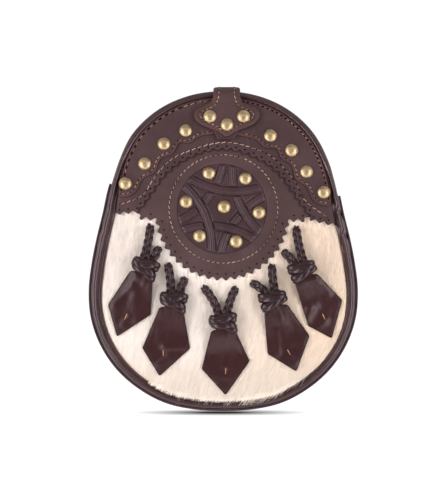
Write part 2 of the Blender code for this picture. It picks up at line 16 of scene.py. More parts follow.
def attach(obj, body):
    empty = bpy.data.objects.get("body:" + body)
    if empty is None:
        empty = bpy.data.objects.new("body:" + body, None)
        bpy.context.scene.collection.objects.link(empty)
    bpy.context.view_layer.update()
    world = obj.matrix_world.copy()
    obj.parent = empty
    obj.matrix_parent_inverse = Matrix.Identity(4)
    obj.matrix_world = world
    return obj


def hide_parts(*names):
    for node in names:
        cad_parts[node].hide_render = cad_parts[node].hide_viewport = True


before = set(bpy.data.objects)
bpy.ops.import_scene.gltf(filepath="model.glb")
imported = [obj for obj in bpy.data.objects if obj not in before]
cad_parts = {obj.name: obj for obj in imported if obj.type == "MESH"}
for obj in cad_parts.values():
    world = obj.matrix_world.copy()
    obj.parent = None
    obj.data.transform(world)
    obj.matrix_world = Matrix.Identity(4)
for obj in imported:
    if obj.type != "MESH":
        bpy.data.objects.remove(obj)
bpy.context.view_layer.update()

MM = 0.001
BODY = "root"
MATT, SMOOTH = "matt_leather", "smooth_leather"
SHEEN = (1.0, 0.86, 0.91, 1.0)  # the purple cast of the leathers' highlights

# ---------------------------------------------------------------- sizes shared with the model
OUTLINE_CENTRE_Y, OUTLINE_STEP = -10.0, 11.25
OUTLINE = (  # radius each OUTLINE_STEP degrees from the top
    *(115.7, 115.0, 112.2, 106.8, 98.9, 92.1, 87.1, 86.1, 87.7),
    *(91.4, 95.5, 98.5, 100.4, 101.0, 100.9, 99.4, 98.5),
)
MOUTH_LEFT, MOUTH_RIGHT = 55.0, 60.0
BELLY_Z, BELLY_Y, BELLY_CURVE_X, BELLY_CURVE_Y = 44.0, -25.0, 0.00094, 0.001344
BACK, BACK_ROLL, BACK_LIFT, BACK_LIFT_Y = 2.4, 2.4, 6.1, 29.0
GUSSET, GUSSET_EDGE, GUSSET_RISE, GUSSET_WAIST = 2.0, 1.2, 1.6, 2.2
FRONT_ROLL = (  # degrees from the top, radius, height of its middle above the hide
    *((-180, 2.6, 0.6), (-135, 3.2, 0.6), (-95, 3.7, 0.6), (-65, 3.3, 0.7), (-45, 2.2, 1.4)),
    *((50, 2.2, 1.4), (70, 2.8, 0.7), (95, 3.1, 0.6), (135, 2.9, 0.6), (180, 2.6, 0.6)),
)
ROLL_EASE, GAP = 20.0, 0.3
DISC_TOP, FACING, BAND, YOKE, TONGUE, TAB = 1.1, (0.3, 1.5), (1.8, 3.0), (3.3, 4.7), (5.0, 6.2), (6.5, 8.1)
DISC_CENTRE, DISC_RADIUS = (-0.5, 23.4), 43.9
WINDOW_CENTRE, WINDOW_RADIUS = (-0.9, 26.4), 30.2
LEFT_SHOULDER = ((-57.9, 25.6), (-55.6, 20.0), (-45.0, 19.0))
RIGHT_SHOULDER = ((44.6, 18.6), (54.0, 18.2), (57.2, 22.0))
BAND_EDGE = ((0, 42.4), (30, 42.7), (50, 45.0), (70, 47.8), (82, 51.5), (89, 56.0))  # degrees, radius
BAND_LEFT_Y, BAND_RIGHT_Y, FACING_LEFT_Y, FACING_RIGHT_Y = 23.2, 15.2, 28.0, 25.0
YOKE_STUDS = (
    *((-65.4, 43.1), (-52.5, 56.5), (-39.7, 69.8), (-25.1, 78.7)),
    *((31.5, 75.3), (45.6, 65.4), (55.6, 51.0), (67.0, 37.2)),
)
YOKE_TOP, LOBE, VALLEY, LOBE_REACH = (3.0, 82.6), 9.0, 6.2, 9.0
TAB_STUDS = ((-8.9, 88.1), (2.5, 82.5), (13.5, 88.1))
RING_CENTRE, RING_RADIUS, RING_FIRST, RING_STUDS = (-0.5, 27.3), 24.6, 51.6, 6
MIDDLE_STUD = (0.5, 27.5)
TAB_X, TAB_TIP_Y, TAB_FRONT_END_Y = 2.3, 74.2, 96.5
TAB_SHAPE = (  # distance from the tip along the strap, half width
    *((0.0, 1.2), (2.4, 4.6), (4.3, 7.6), (6.0, 12.2), (8.6, 17.8), (12.0, 21.1), (15.3, 22.2)),
    *((18.2, 21.5), (20.4, 19.0), (22.4, 14.6), (24.4, 10.8), (27.0, 9.7), (33.0, 9.0), (81.0, 8.9)),
)
TAB_BEND = (  # y and z of the strap's inner face over the top of the pouch
    *((102.2, 29.4), (105.5, 27.0), (106.9, 23.4), (106.9, 12.2)),
    *((106.3, 8.8), (103.4, 6.9), (99.2, 7.5)),
)
TAB_REAR_Y = (94.0, 68.0)
TONGUE_SHAPE = ((-6.8, 88.0), (-6.8, 79.8), (-4.0, 72.8), (6.7, 72.8), (11.6, 79.8), (11.6, 88.0))
LOOP_HALF_WIDTH, LOOP_LEATHER, LOOP_SEAM, LOOP_RISE, LOOP_LOW, LOOP_HIGH = 30.0, 1.6, 8.0, 3.0, 29.0, 53.0
TASSELS = (  # knot, the kite's left corner, tip and right corner, the ends of the long and short thong
    ((-52.0, -12.6), (-76.3, -37.7), (-70.6, -58.4), (-48.5, -44.0), (-48.2, 16.3), (-42.2, 1.0)),
    ((-33.1, -34.8), (-53.5, -66.3), (-42.4, -84.7), (-22.4, -66.5), (-37.2, -9.4), (-25.0, -19.3)),
    ((-0.2, -48.9), (-14.0, -80.1), (1.5, -97.4), (17.1, -75.0), (-14.0, -24.9), (8.8, -25.4)),
    ((33.0, -34.3), (29.8, -70.0), (48.5, -81.6), (56.9, -58.4), (32.3, -10.3), (17.9, -22.6)),
    ((52.6, -14.8), (56.7, -51.4), (72.0, -59.6), (78.8, -34.8), (48.1, 15.0), (39.2, -1.7)),
)
KITE_NECK = ((-3.5, 4.2), (4.9, 4.2), (6.2, 7.8))  # along the tassel from its knot, half width
KITE_LEATHER, KITE_LIFT, KITE_LAID = 1.4, 5.3, 24.0
KNOT_HALF_WIDTH, KNOT_HALF_DEPTH, KNOT_HALF_LENGTH = 9.8, 4.8, 4.6
THONG, THONG_APART = 2.7, 3.0
MIRRORED_KNOTS = (3, 4)  # counted from 0, these tassels' knots lean the other way

# ---------------------------------------------------------------- curves

ROUND = np.arange(180, -180, -2.0)  # degrees from the top, counterclockwise as seen from the front


def smooth(t):
    t = min(1.0, max(0.0, t))
    return t * t * (3 - 2 * t)


def table(rows, at, column=1):
    """A column of a table at a value of its first, read in straight lines."""
    return float(np.interp(at, [row[0] for row in rows], [row[column] for row in rows]))


def smooth_curve(before, a, b, after, t):
    bend = 2 * before - 5 * a + 4 * b - after + t * (3 * (a - b) + after - before)
    return a + t / 2 * (b - before + t * bend)


def smooth_line(points, steps):
    """A smooth curve through points, with some steps between each two."""
    points, last = [Vector(p) for p in points], len(points) - 1
    line = []
    for i in range(last):
        near = [points[min(max(k, 0), last)] for k in range(i - 1, i + 3)]
        line += [smooth_curve(*near, k / steps) for k in range(steps)]
    return line + [points[-1]]


def signed(angle):
    return (angle + 180) % 360 - 180


def compass_point(centre, radius, angle):
    a = math.radians(angle)
    return Vector((centre[0] + radius * math.sin(a), centre[1] + radius * math.cos(a)))


def outline_point(angle):
    away, last = abs(signed(angle)), len(OUTLINE) - 1
    row = min(int(away / OUTLINE_STEP), last - 1)
    near = [OUTLINE[abs(i) if i <= last else 2 * last - i] for i in range(row - 1, row + 3)]
    return compass_point((0, OUTLINE_CENTRE_Y), smooth_curve(*near, away / OUTLINE_STEP - row), angle)


def inward(angle):
    along = outline_point(angle + 0.5) - outline_point(angle - 0.5)
    return Vector((along.y, -along.x)).normalized()


def rim(angle, inset):
    return outline_point(angle) + inward(angle) * inset


def front_z(x, y):
    return BELLY_Z - BELLY_CURVE_X * x * x - BELLY_CURVE_Y * (y - BELLY_Y) ** 2


def back_z(y):
    """The outer face of the back panel."""
    low_y, low_z = outline_point(180).y + BACK_ROLL, BACK_ROLL - BACK / 2
    return low_z + (BACK_LIFT - low_z) * (y - low_y) / (BACK_LIFT_Y - low_y)


def front_roll(angle):
    """The front roll's radius, its middle's inset and height, and how far it is beside the gusset."""
    angle = signed(angle)
    radius, lift = table(FRONT_ROLL, angle), table(FRONT_ROLL, angle, 2)
    mouth = MOUTH_LEFT if angle < 0 else MOUTH_RIGHT
    beside = smooth((abs(angle) - mouth + ROLL_EASE) / ROLL_EASE)
    inset = radius + (GUSSET_EDGE + GAP) * beside
    return radius, inset, front_z(*rim(angle, inset)) + lift, beside


def leather_rim(angle, further=0.0):
    """The edge of the leathers that lie inside the front roll."""
    radius, inset, _, _ = front_roll(angle)
    return rim(angle, inset + radius + GAP + further)


def leather_rim_at(y, side):
    angle = 40.0
    while leather_rim(side * angle).y > y:
        angle += 0.2
    return leather_rim(side * angle)


RIM_RADII = [(leather_rim(a) - Vector((0, OUTLINE_CENTRE_Y))).length for a in range(-180, 181)]


def beyond_rim(x, y):
    """How far a point is outside the edge of the leather; negative inside it."""
    y -= OUTLINE_CENTRE_Y
    at = math.degrees(math.atan2(x, y)) + 180
    row = min(int(at), 359)
    limit = RIM_RADII[row] + (RIM_RADII[row + 1] - RIM_RADII[row]) * (at - row)
    return math.hypot(x, y) - limit


def spaced(path, step):
    """Points along a path, about step apart, with both its ends."""
    path, lengths = [Vector(p) for p in path], [0.0]
    for a, b in zip(path, path[1:]):
        lengths.append(lengths[-1] + (b - a).length)
    count = max(2, round(lengths[-1] / step))
    found, row = [], 0
    for i in range(count + 1):
        at = lengths[-1] * i / count
        while row < len(path) - 2 and lengths[row + 1] < at:
            row += 1
        t = (at - lengths[row]) / max(1e-9, lengths[row + 1] - lengths[row])
        found.append(path[row].lerp(path[row + 1], t))
    return found


def pairs(loop):
    """Each point of a loop and the one after it."""
    return zip(loop, loop[1:] + loop[:1])


def polygon(corners, step):
    """The points of a polygon's sides, about step apart."""
    return [p for side in pairs(corners) for p in spaced(side, step)[:-1]]


def left_of(path, i):
    along = path[min(i + 1, len(path) - 1)] - path[max(i - 1, 0)]
    return Vector((-along.y, along.x)).normalized()


def circle(centre, radius, sides, turn=0.0):
    angles = [math.radians(turn) + 2 * math.pi * k / sides for k in range(sides)]
    return [Vector((centre[0] + radius * math.cos(a), centre[1] + radius * math.sin(a))) for a in angles]


def offset_loop(loop, distance):
    """A counterclockwise loop moved inwards."""
    moved = []
    for i, p in enumerate(loop):
        before, after = p - loop[i - 1], loop[(i + 1) % len(loop)] - p
        one, two = (Vector((-side.y, side.x)).normalized() for side in (before, after))
        middle = (one + two).normalized()
        moved.append(p + middle * (distance / max(0.55, middle.dot(one))))
    return moved


def inside_mask(points, loop):
    x, y = points[:, 0], points[:, 1]
    odd = np.zeros(len(points), bool)
    for a, b in pairs(loop):
        if a[1] != b[1]:
            crosses = (a[1] > y) != (b[1] > y)
            odd ^= crosses & (x < a[0] + (y - a[1]) * (b[0] - a[0]) / (b[1] - a[1]))
    return odd


def on_front(x, y, height):
    return Vector((x, y, front_z(x, y) + height))


def on_back(x, y, height):
    """A point of the back panel's outer side; height goes outwards, which is down."""
    return Vector((x, y, back_z(y) - height))


# ---------------------------------------------------------------- materials

MIX_A, MIX_B, MIX_RESULT = 6, 7, 2  # the colour sockets of a Mix node


class Shader:
    """A Principled material with short calls for its nodes."""

    def __init__(self, name, colour, roughness, **inputs):
        self.material = bpy.data.materials.new(name)
        self.material.use_nodes = True
        self.tree = self.material.node_tree
        self.sockets = self.tree.nodes["Principled BSDF"].inputs
        for key, value in {"Base_Color": (*colour, 1.0), "Roughness": roughness, **inputs}.items():
            self.sockets[key.replace("_", " ")].default_value = value
        coordinates = self.node("TexCoord").outputs
        self.object, self.uv = coordinates["Object"], coordinates["UV"]

    def node(self, kind, inputs=(), **settings):
        made = self.tree.nodes.new(f"ShaderNode{kind}")
        for key, value in settings.items():
            setattr(made, key, value)
        for key, value in dict(inputs).items():
            if isinstance(value, bpy.types.NodeSocket):
                self.tree.links.new(value, made.inputs[key])
            else:
                made.inputs[key].default_value = value
        return made

    def feed(self, socket, value):
        self.tree.links.new(value, self.sockets[socket])

    def stretched(self, scale, source=None):
        return self.node("Mapping", {"Vector": source or self.object, "Scale": scale}).outputs["Vector"]

    def noise(self, scale, detail=3.0, source=None, distortion=0.0):
        """Noise with features per metre (or per UV unit) set by scale."""
        inputs = {"Vector": source or self.object}
        inputs.update(Scale=scale, Detail=detail, Distortion=distortion)
        return self.node("TexNoise", inputs).outputs["Fac"]

    def cells(self, scale):
        return self.node("TexVoronoi", {"Scale": scale, "Vector": self.object}).outputs["Distance"]

    def ramp(self, value, low, high, start=0.0, end=1.0):
        """Maps start..end to low..high, held at both ends."""
        inputs = {"Value": value, "From Min": start, "From Max": end, "To Min": low, "To Max": high}
        return self.node("MapRange", inputs).outputs["Result"]

    def mix(self, value, start, end, a, b, most=1.0):
        """From colour a to b, or to a share of b, while a value goes from start to end."""
        a, b = (v if isinstance(v, bpy.types.NodeSocket) else (*v, 1.0) for v in (a, b))
        inputs = {0: self.ramp(value, 0.0, most, start, end), MIX_A: a, MIX_B: b}
        return self.node("Mix", inputs, data_type="RGBA").outputs[MIX_RESULT]

    def bump(self, *layers):
        """Bump from (height, distance in millimetres) pairs."""
        inputs = {"Strength": 1.0}
        for height, distance in layers:
            inputs.update(Height=height, Distance=distance * MM)
            inputs["Normal"] = self.node("Bump", inputs).outputs["Normal"]
        self.feed("Normal", inputs["Normal"])


def dim(colour, share):
    return [c * share for c in colour]


def flat_leather(name, colour, roughness, grain=0.05, mottle=0.3, bright=1.4, gloss=0.3, wear=1.0):
    """Leather with a pebbled grain, soft mottling and fine scuffs."""
    s = Shader(name, colour, roughness, Specular_IOR_Level=gloss, Specular_Tint=SHEEN)
    scuffs = s.noise(420.0, 5.0, s.stretched((1.0, 0.35, 1.0)))
    tone = s.mix(s.noise(38.0, 4.0), 0.35, 0.65, dim(colour, 1 - mottle), colour)
    s.feed("Base Color", s.mix(scuffs, 0.58, 0.78, tone, dim(colour, bright), 0.5 * wear))
    s.feed("Roughness", s.ramp(scuffs, roughness - 0.08 * wear, roughness + 0.14 * wear, 0.3, 0.75))
    s.bump((s.cells(1500.0), grain), (s.noise(700.0, 4.0), grain * 1.2), (s.noise(90.0, 2.0), 0.12))
    return s.material


def rolled_leather(name, colour, roughness):
    """Glossy leather drawn round a cord: wrinkles run across it. Its UV is millimetres along, and around."""
    s = Shader(name, colour, roughness, Specular_IOR_Level=0.75, Specular_Tint=SHEEN)
    across = s.noise(1.0, 4.0, s.stretched((0.45, 0.09, 1.0), s.uv), 0.6)
    fine = s.noise(1.0, 4.0, s.stretched((1.7, 0.5, 1.0), s.uv), 0.4)
    tone = s.mix(s.noise(60.0), 0.3, 0.7, dim(colour, 0.55), colour)
    # lighter on the wrinkles' raised crests: partly rubbed leather, partly a painted sheen
    s.feed("Base Color", s.mix(across, 0.5, 0.75, tone, dim(colour, 1.3), 0.6))
    s.feed("Roughness", s.ramp(fine, roughness - 0.08, roughness + 0.15, 0.3, 0.75))
    s.bump((across, 0.1), (fine, 0.05), (s.cells(1600.0), 0.02))
    return s.material


def thread(name, colour, dull):
    """Sewing thread, worn and stained unevenly along the seam."""
    s = Shader(name, colour, 0.7, Specular_IOR_Level=0.3)
    ply = s.noise(2200.0, 2.0)
    tone = s.mix(s.noise(150.0), 0.4, 0.62, dull, colour)
    s.feed("Base Color", s.mix(ply, 0.45, 0.75, tone, dim(colour, 0.4), 0.55))
    s.bump((ply, 0.05))
    return s.material


def hair_material():
    """Hair takes its tint from the mesh: each hair has its own."""
    s = Shader("cowhide_hair", (0.85, 0.72, 0.6), 0.5, Specular_IOR_Level=0.35)
    s.feed("Base Color", s.node("Attribute", attribute_name="tint").outputs["Color"])
    return s.material


def skin_material():
    """The hide between the hairs: cream with close streaks down it."""
    s = Shader("cowhide_skin", (0.9, 0.8, 0.72), 0.7)
    streaks = s.noise(900.0, 4.0, s.stretched((1.0, 0.07, 1.0)), 0.3)
    s.feed("Base Color", s.mix(streaks, 0.35, 0.65, (0.9, 0.77, 0.67), (0.95, 0.86, 0.78)))
    s.bump((streaks, 0.25))
    return s.material


def brass_material():
    s = Shader("polished_brass", (0.75, 0.55, 0.32), 0.3, Metallic=1.0)
    rub = s.noise(900.0, 4.0)
    s.feed("Base Color", s.mix(rub, 0.35, 0.7, (0.44, 0.31, 0.165), (0.61, 0.465, 0.3)))
    s.feed("Roughness", s.ramp(rub, 0.42, 0.5, 0.3, 0.7))
    s.bump((s.noise(1800.0, 2.0), 0.008))
    return s.material


def steel_material():
    s = Shader("press_stud_steel", (0.5, 0.5, 0.5), 0.3, Metallic=1.0)
    s.feed("Roughness", s.ramp(s.noise(900.0), 0.2, 0.45))
    return s.material


M = {
    "matt": flat_leather("matt_brown_leather", (0.07, 0.037, 0.039), 0.52, gloss=0.22),
    # painted light: lighter than the matt leather, a lit copy of it for the more light that falls on the
    # round facing
    "facing": flat_leather("round_facing_leather", (0.08, 0.044, 0.045), 0.55, 0.06, gloss=0.2),
    "border": flat_leather("worn_border_leather", (0.081, 0.0385, 0.036), 0.5, gloss=0.25),
    "binding": flat_leather("binding_edge", (0.17, 0.095, 0.075), 0.6, gloss=0.2),
    "disc": flat_leather("embossed_leather", (0.055, 0.0275, 0.0315), 0.34, 0.03, gloss=0.36),
    "smooth": flat_leather("smooth_dark_leather", (0.05, 0.027, 0.03), 0.4, 0.035),
    "kite": flat_leather("oxblood_kite_leather", (0.032, 0.008, 0.0084), 0.33, 0.045, 0.2, 1.3, 0.34, 0.5),
    # near-black: the kites' cut edges and undersides, and painted shade on the faces of the kites and the
    # band along their edges
    "dark_edge": flat_leather("dark_cut_edge_and_painted_shade", (0.014, 0.005, 0.005), 0.6, gloss=0.15),
    "strand": flat_leather("braided_leather", (0.025, 0.0088, 0.0108), 0.28, 0.02, gloss=0.46, wear=0.5),
    "suede": flat_leather("suede_side", (0.16, 0.1, 0.075), 0.9, 0.12),
    "edge": flat_leather("cut_edge", (0.05, 0.019, 0.017), 0.65, 0.08, gloss=0.15),
    "roll": rolled_leather("rolled_leather", (0.041, 0.015, 0.017), 0.32),
    "thread": thread("tan_thread", (0.52, 0.36, 0.29), (0.17, 0.085, 0.065)),
    "dark_thread": thread("dark_thread", (0.33, 0.2, 0.15), (0.1, 0.04, 0.032)),
    "seam_thread": thread("seam_thread", (0.3, 0.17, 0.13), (0.09, 0.035, 0.03)),
    "ring_thread": thread("ring_thread", (0.42, 0.27, 0.2), (0.15, 0.075, 0.055)),
    "orange_thread": thread("orange_thread", (0.55, 0.27, 0.16), (0.35, 0.15, 0.09)),
    "hair": hair_material(),
    "skin": skin_material(),
    "brass": brass_material(),
    # near-black discs painted in as the shade in needle holes and punched holes
    "hole": Shader("needle_hole", (0.012, 0.005, 0.005), 0.9, Specular_IOR_Level=0.0).material,
    "steel": steel_material(),
}

# ---------------------------------------------------------------- building pieces


def new_object(name, data, place=(0, 0, 0)):
    made = bpy.data.objects.new(name, data)
    made.location = place
    bpy.context.scene.collection.objects.link(made)
    return made


def mesh_piece(name, points, faces, look, slot, nodes=(), index=None, uvs=None, sharp=40.0):
    """A piece from points in millimetres, in the materials that look names, for the model's nodes."""
    mesh = bpy.data.meshes.new(name)
    mesh.from_pydata((np.asarray(points, float) * MM).tolist(), [], faces)
    for key in look.split():
        mesh.materials.append(M[key])
    if index is not None:
        mesh.polygons.foreach_set("material_index", np.asarray(index, np.int32))
    if uvs is not None:
        layer = mesh.uv_layers.new(name="uv")
        corners = np.zeros(len(mesh.loops), np.int32)
        mesh.loops.foreach_get("vertex_index", corners)
        layer.data.foreach_set("uv", np.asarray(uvs, np.float32)[corners].ravel())
    mesh.validate()
    mesh.shade_smooth()
    mesh.set_sharp_from_angle(angle=math.radians(sharp))
    made = new_object(name, mesh)
    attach(made, BODY)
    if nodes:
        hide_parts(*nodes)
    return made


def loft_faces(count, sides, closed=False, capped=True):
    """Faces between rings of points, with the rings' ends capped unless they join."""
    faces = []
    for i in range(count if closed else count - 1):
        here, there = i * sides, (i + 1) % count * sides
        for k in range(sides):
            after = (k + 1) % sides
            faces.append((here + k, here + after, there + after, there + k))
    if capped and not closed:
        faces += [tuple(reversed(range(sides))), tuple(range((count - 1) * sides, count * sides))]
    return faces


def moved(faces, start):
    """Faces for points that come after others."""
    return [tuple(start + i for i in face) for face in faces]


def wavy(x, y, size, seed=0.0):
    """Soft unevenness between -1 and 1, with features of a size in millimetres."""
    return noise.noise(Vector((x / size, y / size, seed)))


def distance_to(points):
    """A function that tells how far a place is from the nearest of some points."""
    tree = kdtree.KDTree(len(points))
    for i, p in enumerate(points):
        tree.insert((p[0], p[1], 0), i)
    tree.balance()
    return lambda p: tree.find((p[0], p[1], 0))[2]


def kept_inside(points, loop):
    mask = inside_mask(np.array([p[:2] for p in points]).reshape(-1, 2), loop)
    return [p for p, kept in zip(points, mask) if kept]


def soft_edge(outer, width, drop, groove=0.0):
    """The lift of an edge, rounded down over a width and pressed in where it is sewn, and its points."""
    distance = distance_to([q for a, b in pairs(outer) for q in (a, a.lerp(b, 0.5))])

    def lift(x, y):
        away = distance((x, y))
        return -drop * max(0.0, 1 - away / width) ** 2 - groove * math.exp(-(((away - width) / 0.5) ** 2))

    return lift, [p for share in (0.3, 0.55, 0.8, 1.0, 1.25) for p in offset_loop(outer, width * share)]


def filled(outer, holes, spacing, extra):
    """Triangles in a loop with holes, on a grid and extra points: its points, triangles and loops."""
    points, edges, rows = [], [], []
    for loop in [outer, *holes]:
        rows.append(range(len(points), len(points) + len(loop)))
        edges += zip(rows[-1], [*rows[-1][1:], rows[-1][0]])
        points += loop

    def in_leather(places):
        kept = inside_mask(places, outer)
        for hole in holes:
            kept &= ~inside_mask(places, hole)
        return kept

    distance = distance_to(points)
    points += [p for p in extra if distance(p) > 0.2]
    distance = distance_to(points)
    corners = np.array([p[:] for p in outer])
    low, high = corners.min(0), corners.max(0)
    lines = enumerate(np.arange(low[1] + spacing / 2, high[1], spacing * 0.87))
    grid = [(x, y) for j, y in lines for x in np.arange(low[0] + spacing * (j % 2) / 2, high[0], spacing)]
    grid = np.array(grid).reshape(-1, 2)
    points += [Vector(g) for g in grid[in_leather(grid)] if distance(g) > spacing * 0.45]
    found = delaunay_2d_cdt(points, edges, [], 0, 1e-6)
    number = {old: new for new, olds in enumerate(found[3]) for old in olds}
    corners, triangles = np.array([v[:] for v in found[0]]), np.array(found[2])
    kept = in_leather(corners[triangles].mean(1))
    return corners, triangles[kept].tolist(), [[number[i] for i in row] for row in rows]


def plate(
    name, outer, heights, place, look, slot, nodes=(), holes=(),
    spacing=2.2, bevel=0.35, lift=lambda x, y: 0.0, extra=(), border=0.0,
):
    """A piece of leather: its face with a rounded edge, its cut edge and its underside.

    outer is counterclockwise. The first material is the face's, the second the edge's and underside's,
    and a third is the face's within the border's width of the edge.
    """
    low, high = heights
    shape = offset_loop(outer, bevel)
    corners, triangles, loops = filled(shape, holes, spacing, kept_inside(extra, shape))
    count, sides, distance = len(corners), len(outer), distance_to(outer)
    points = [place(x, y, high + lift(x, y)) for x, y in corners] + [place(x, y, low) for x, y in corners]
    faces = [tuple(t) for t in triangles] + [tuple(i + count for i in reversed(t)) for t in triangles]
    middles = corners[np.array(triangles)].mean(1)
    index = [2 if border and distance(p) < border else 0 for p in middles] + [1] * len(triangles)
    rings = [loops[0]]
    near = offset_loop(outer, bevel * 0.3)
    for loop, height in ((near, high - bevel * 0.3), (outer, high - bevel), (outer, low)):
        rings.append(range(len(points), len(points) + sides))
        points += [place(p[0], p[1], height + (lift(p[0], p[1]) if height > low else 0.0)) for p in loop]
    rings.append([i + count for i in loops[0]])
    for row, (a, b) in enumerate(zip(rings, rings[1:])):
        faces += [(a[after], a[i], b[i], b[after]) for i, after in pairs(list(range(sides)))]
        index += [(2 if border else 0) if row == 0 else 1] * sides
    for loop in loops[1:]:
        faces += [(i, after, after + count, i + count) for i, after in pairs(loop)]
        index += [1] * len(loop)
    return mesh_piece(name, points, faces, look, slot, nodes, index, sharp=50.0)


def tube(path, widths, heights, sides, ups=None):
    """Rings of an oval tube along 3-D points, in half widths and heights; ups turn its flat side."""
    rings = []
    for i, p in enumerate(path):
        along = (path[min(i + 1, len(path) - 1)] - path[max(i - 1, 0)]).normalized()
        side = along.cross(ups[i] if ups else Vector((0, 0, 1))).normalized()
        top = side.cross(along).normalized()
        for k in range(sides):
            a = 2 * math.pi * k / sides
            rings.append(p + side * (widths[i] * math.cos(a)) + top * (heights[i] * math.sin(a)))
    return rings


STITCH_SLANT, STITCH_STEPS, STITCH_SIDES, HOLE_SIDES = 0.14, 4, 6, 8
SEAMS = {  # thread, pitch, a stitch's length, radius and rise, half a hole's length, its width's share
    "back_seam_stitches": ("dark_thread", 3.6, 2.6, 0.36, 0.25, 0.5, 0.8),
    "strap_loop_stitches": ("thread", 3.1, 2.2, 0.36, 0.25, 0.5, 0.8),
    "arch_stitches_top": ("ring_thread", 4.4, 3.3, 0.28, 0.15, 0.5, 0.8),
    "arch_stitches_left": ("seam_thread", 4.9, 2.3, 0.24, 0.12, 1.3, 0.48),
    "arch_stitches_right": ("dark_thread", 3.5, 1.9, 0.28, 0.15, 1.0, 0.6),
    "yoke_stitches": ("dark_thread", 3.2, 2.2, 0.33, 0.25, 0.5, 0.8),
    "band_stitches": ("thread", 4.15, 3.3, 0.3, 0.25, 0.5, 0.8),
    "band_stitches_worn": ("seam_thread", 4.15, 2.4, 0.28, 0.15, 0.65, 0.8),
    "ring_stitches": ("ring_thread", 3.4, 2.5, 0.33, 0.25, 0.5, 0.8),
    "tab_stitches": ("ring_thread", 3.1, 2.3, 0.33, 0.12, 0.5, 0.8),
    "tab_anchor_stitches": ("thread", 3.1, 2.2, 0.36, 0.25, 0.5, 0.8),
    "kite_stitch": ("orange_thread", 1.8, 1.7, 0.27, 0.15, 0.3, 0.8),
}


def stitches(name, paths, place, height, slot, seam=None):
    """Stitches along paths, and at their ends near-black discs of painted shade for the needle holes."""
    colour, pitch, length, radius, rise, hole, oval = SEAMS[seam or name]
    widths = [radius * 0.75, *[radius] * (STITCH_STEPS - 1), radius * 0.75]
    points, faces, index = [], [], []
    rng = random.Random(9)
    for path in paths:
        line = spaced(path, pitch)
        for a, b in zip(line, line[1:]):
            slant = Matrix.Rotation(STITCH_SLANT + rng.gauss(0, 0.08), 2)
            half = slant @ (b - a).normalized() * (length / 2 * rng.uniform(0.88, 1.06))
            track = []
            for k in range(STITCH_STEPS + 1):
                t = k / STITCH_STEPS
                q = (a + b) / 2 + half * (2 * t - 1)
                track.append(place(q.x, q.y, height + rise * math.sin(math.pi * t) - 0.1))
            faces += moved(loft_faces(STITCH_STEPS + 1, STITCH_SIDES), len(points))
            points += tube(track, widths, widths, STITCH_SIDES)
            index += [0] * (len(faces) - len(index))
        # painted shade: a flat near-black disc on the leather at each needle hole
        for p, q in zip(line, line[1:] + line[-2:-1]):
            run = (q - p).normalized()
            across = Vector((-run.y, run.x))
            faces.append(tuple(range(len(points), len(points) + HOLE_SIDES)))
            index.append(1)
            for k in range(HOLE_SIDES):
                angle = 2 * math.pi * k / HOLE_SIDES
                turn = across * (hole * oval * math.cos(angle)) + run * (hole * math.sin(angle))
                points.append(place(p.x + turn.x, p.y + turn.y, height + 0.08))
    mesh_piece(name, points, faces, f"{colour} hole", slot, index=index, sharp=60.0)


# ---------------------------------------------------------------- pouch body

CORD_SHARE, LIP_FOOT = 0.64, 0.12  # of the front roll's width, and of its radius
ARCH_FULLER = 0.3  # the roll is fuller along the arch, where no gusset is beside it
GUSSET_LOWER = 0.8  # how much lower than the model's the gusset's edge is
SEAM_INSET = 3.2  # the back's seam from its roll


def tube_uvs(along, around):
    """UVs in millimetres for a tube's rings: along it, and around it."""
    return [(at, 20.0 * k / around) for at in along for k in range(around)]


def roll_profile(radius, lip, sides):
    """The front roll's cut: a round cord, or beside the gusset a cord with a low lip inside it."""
    points = []
    for k in range(sides):
        a = 2 * math.pi * k / sides
        round_x, round_z = -radius * math.cos(a), radius * math.sin(a)
        share = (round_x + radius) / (2 * radius)
        lip_z = round_z
        if math.sin(a) >= 0 and share < CORD_SHARE:
            lip_z = radius * (LIP_FOOT + 0.98 * math.sqrt(max(0.0, 1 - (share / CORD_SHARE * 2 - 1) ** 2)))
        elif math.sin(a) >= 0:
            t = (share - CORD_SHARE) / (1 - CORD_SHARE)
            hem = 0.3 * math.sin(math.pi * min(1.0, t * 1.15)) - 0.5 * max(0.0, t - 0.87) / 0.13
            lip_z = radius * (LIP_FOOT + hem)
        points.append((round_x, round_z + (lip_z - round_z) * lip))
    return points


def wrinkle(angle, around):
    """How far the roll's leather puckers, strongest at the upper right."""
    right = smooth((angle - 56) / 8) * smooth((92 - angle) / 22)
    left = smooth((-angle - 60) / 10) * smooth((angle + 100) / 30)
    phase = angle * 0.62 + around * 2.1 + 0.9 * wavy(angle, around * 4, 16.0, 3.0)
    diagonal = math.sin(phase) + 0.4 * math.sin(2 * phase + 1.0)
    return (0.6 * right + 0.18 * left) * diagonal + 0.12 * wavy(angle * 1.2, around * 3.0, 6.0, 7.0)


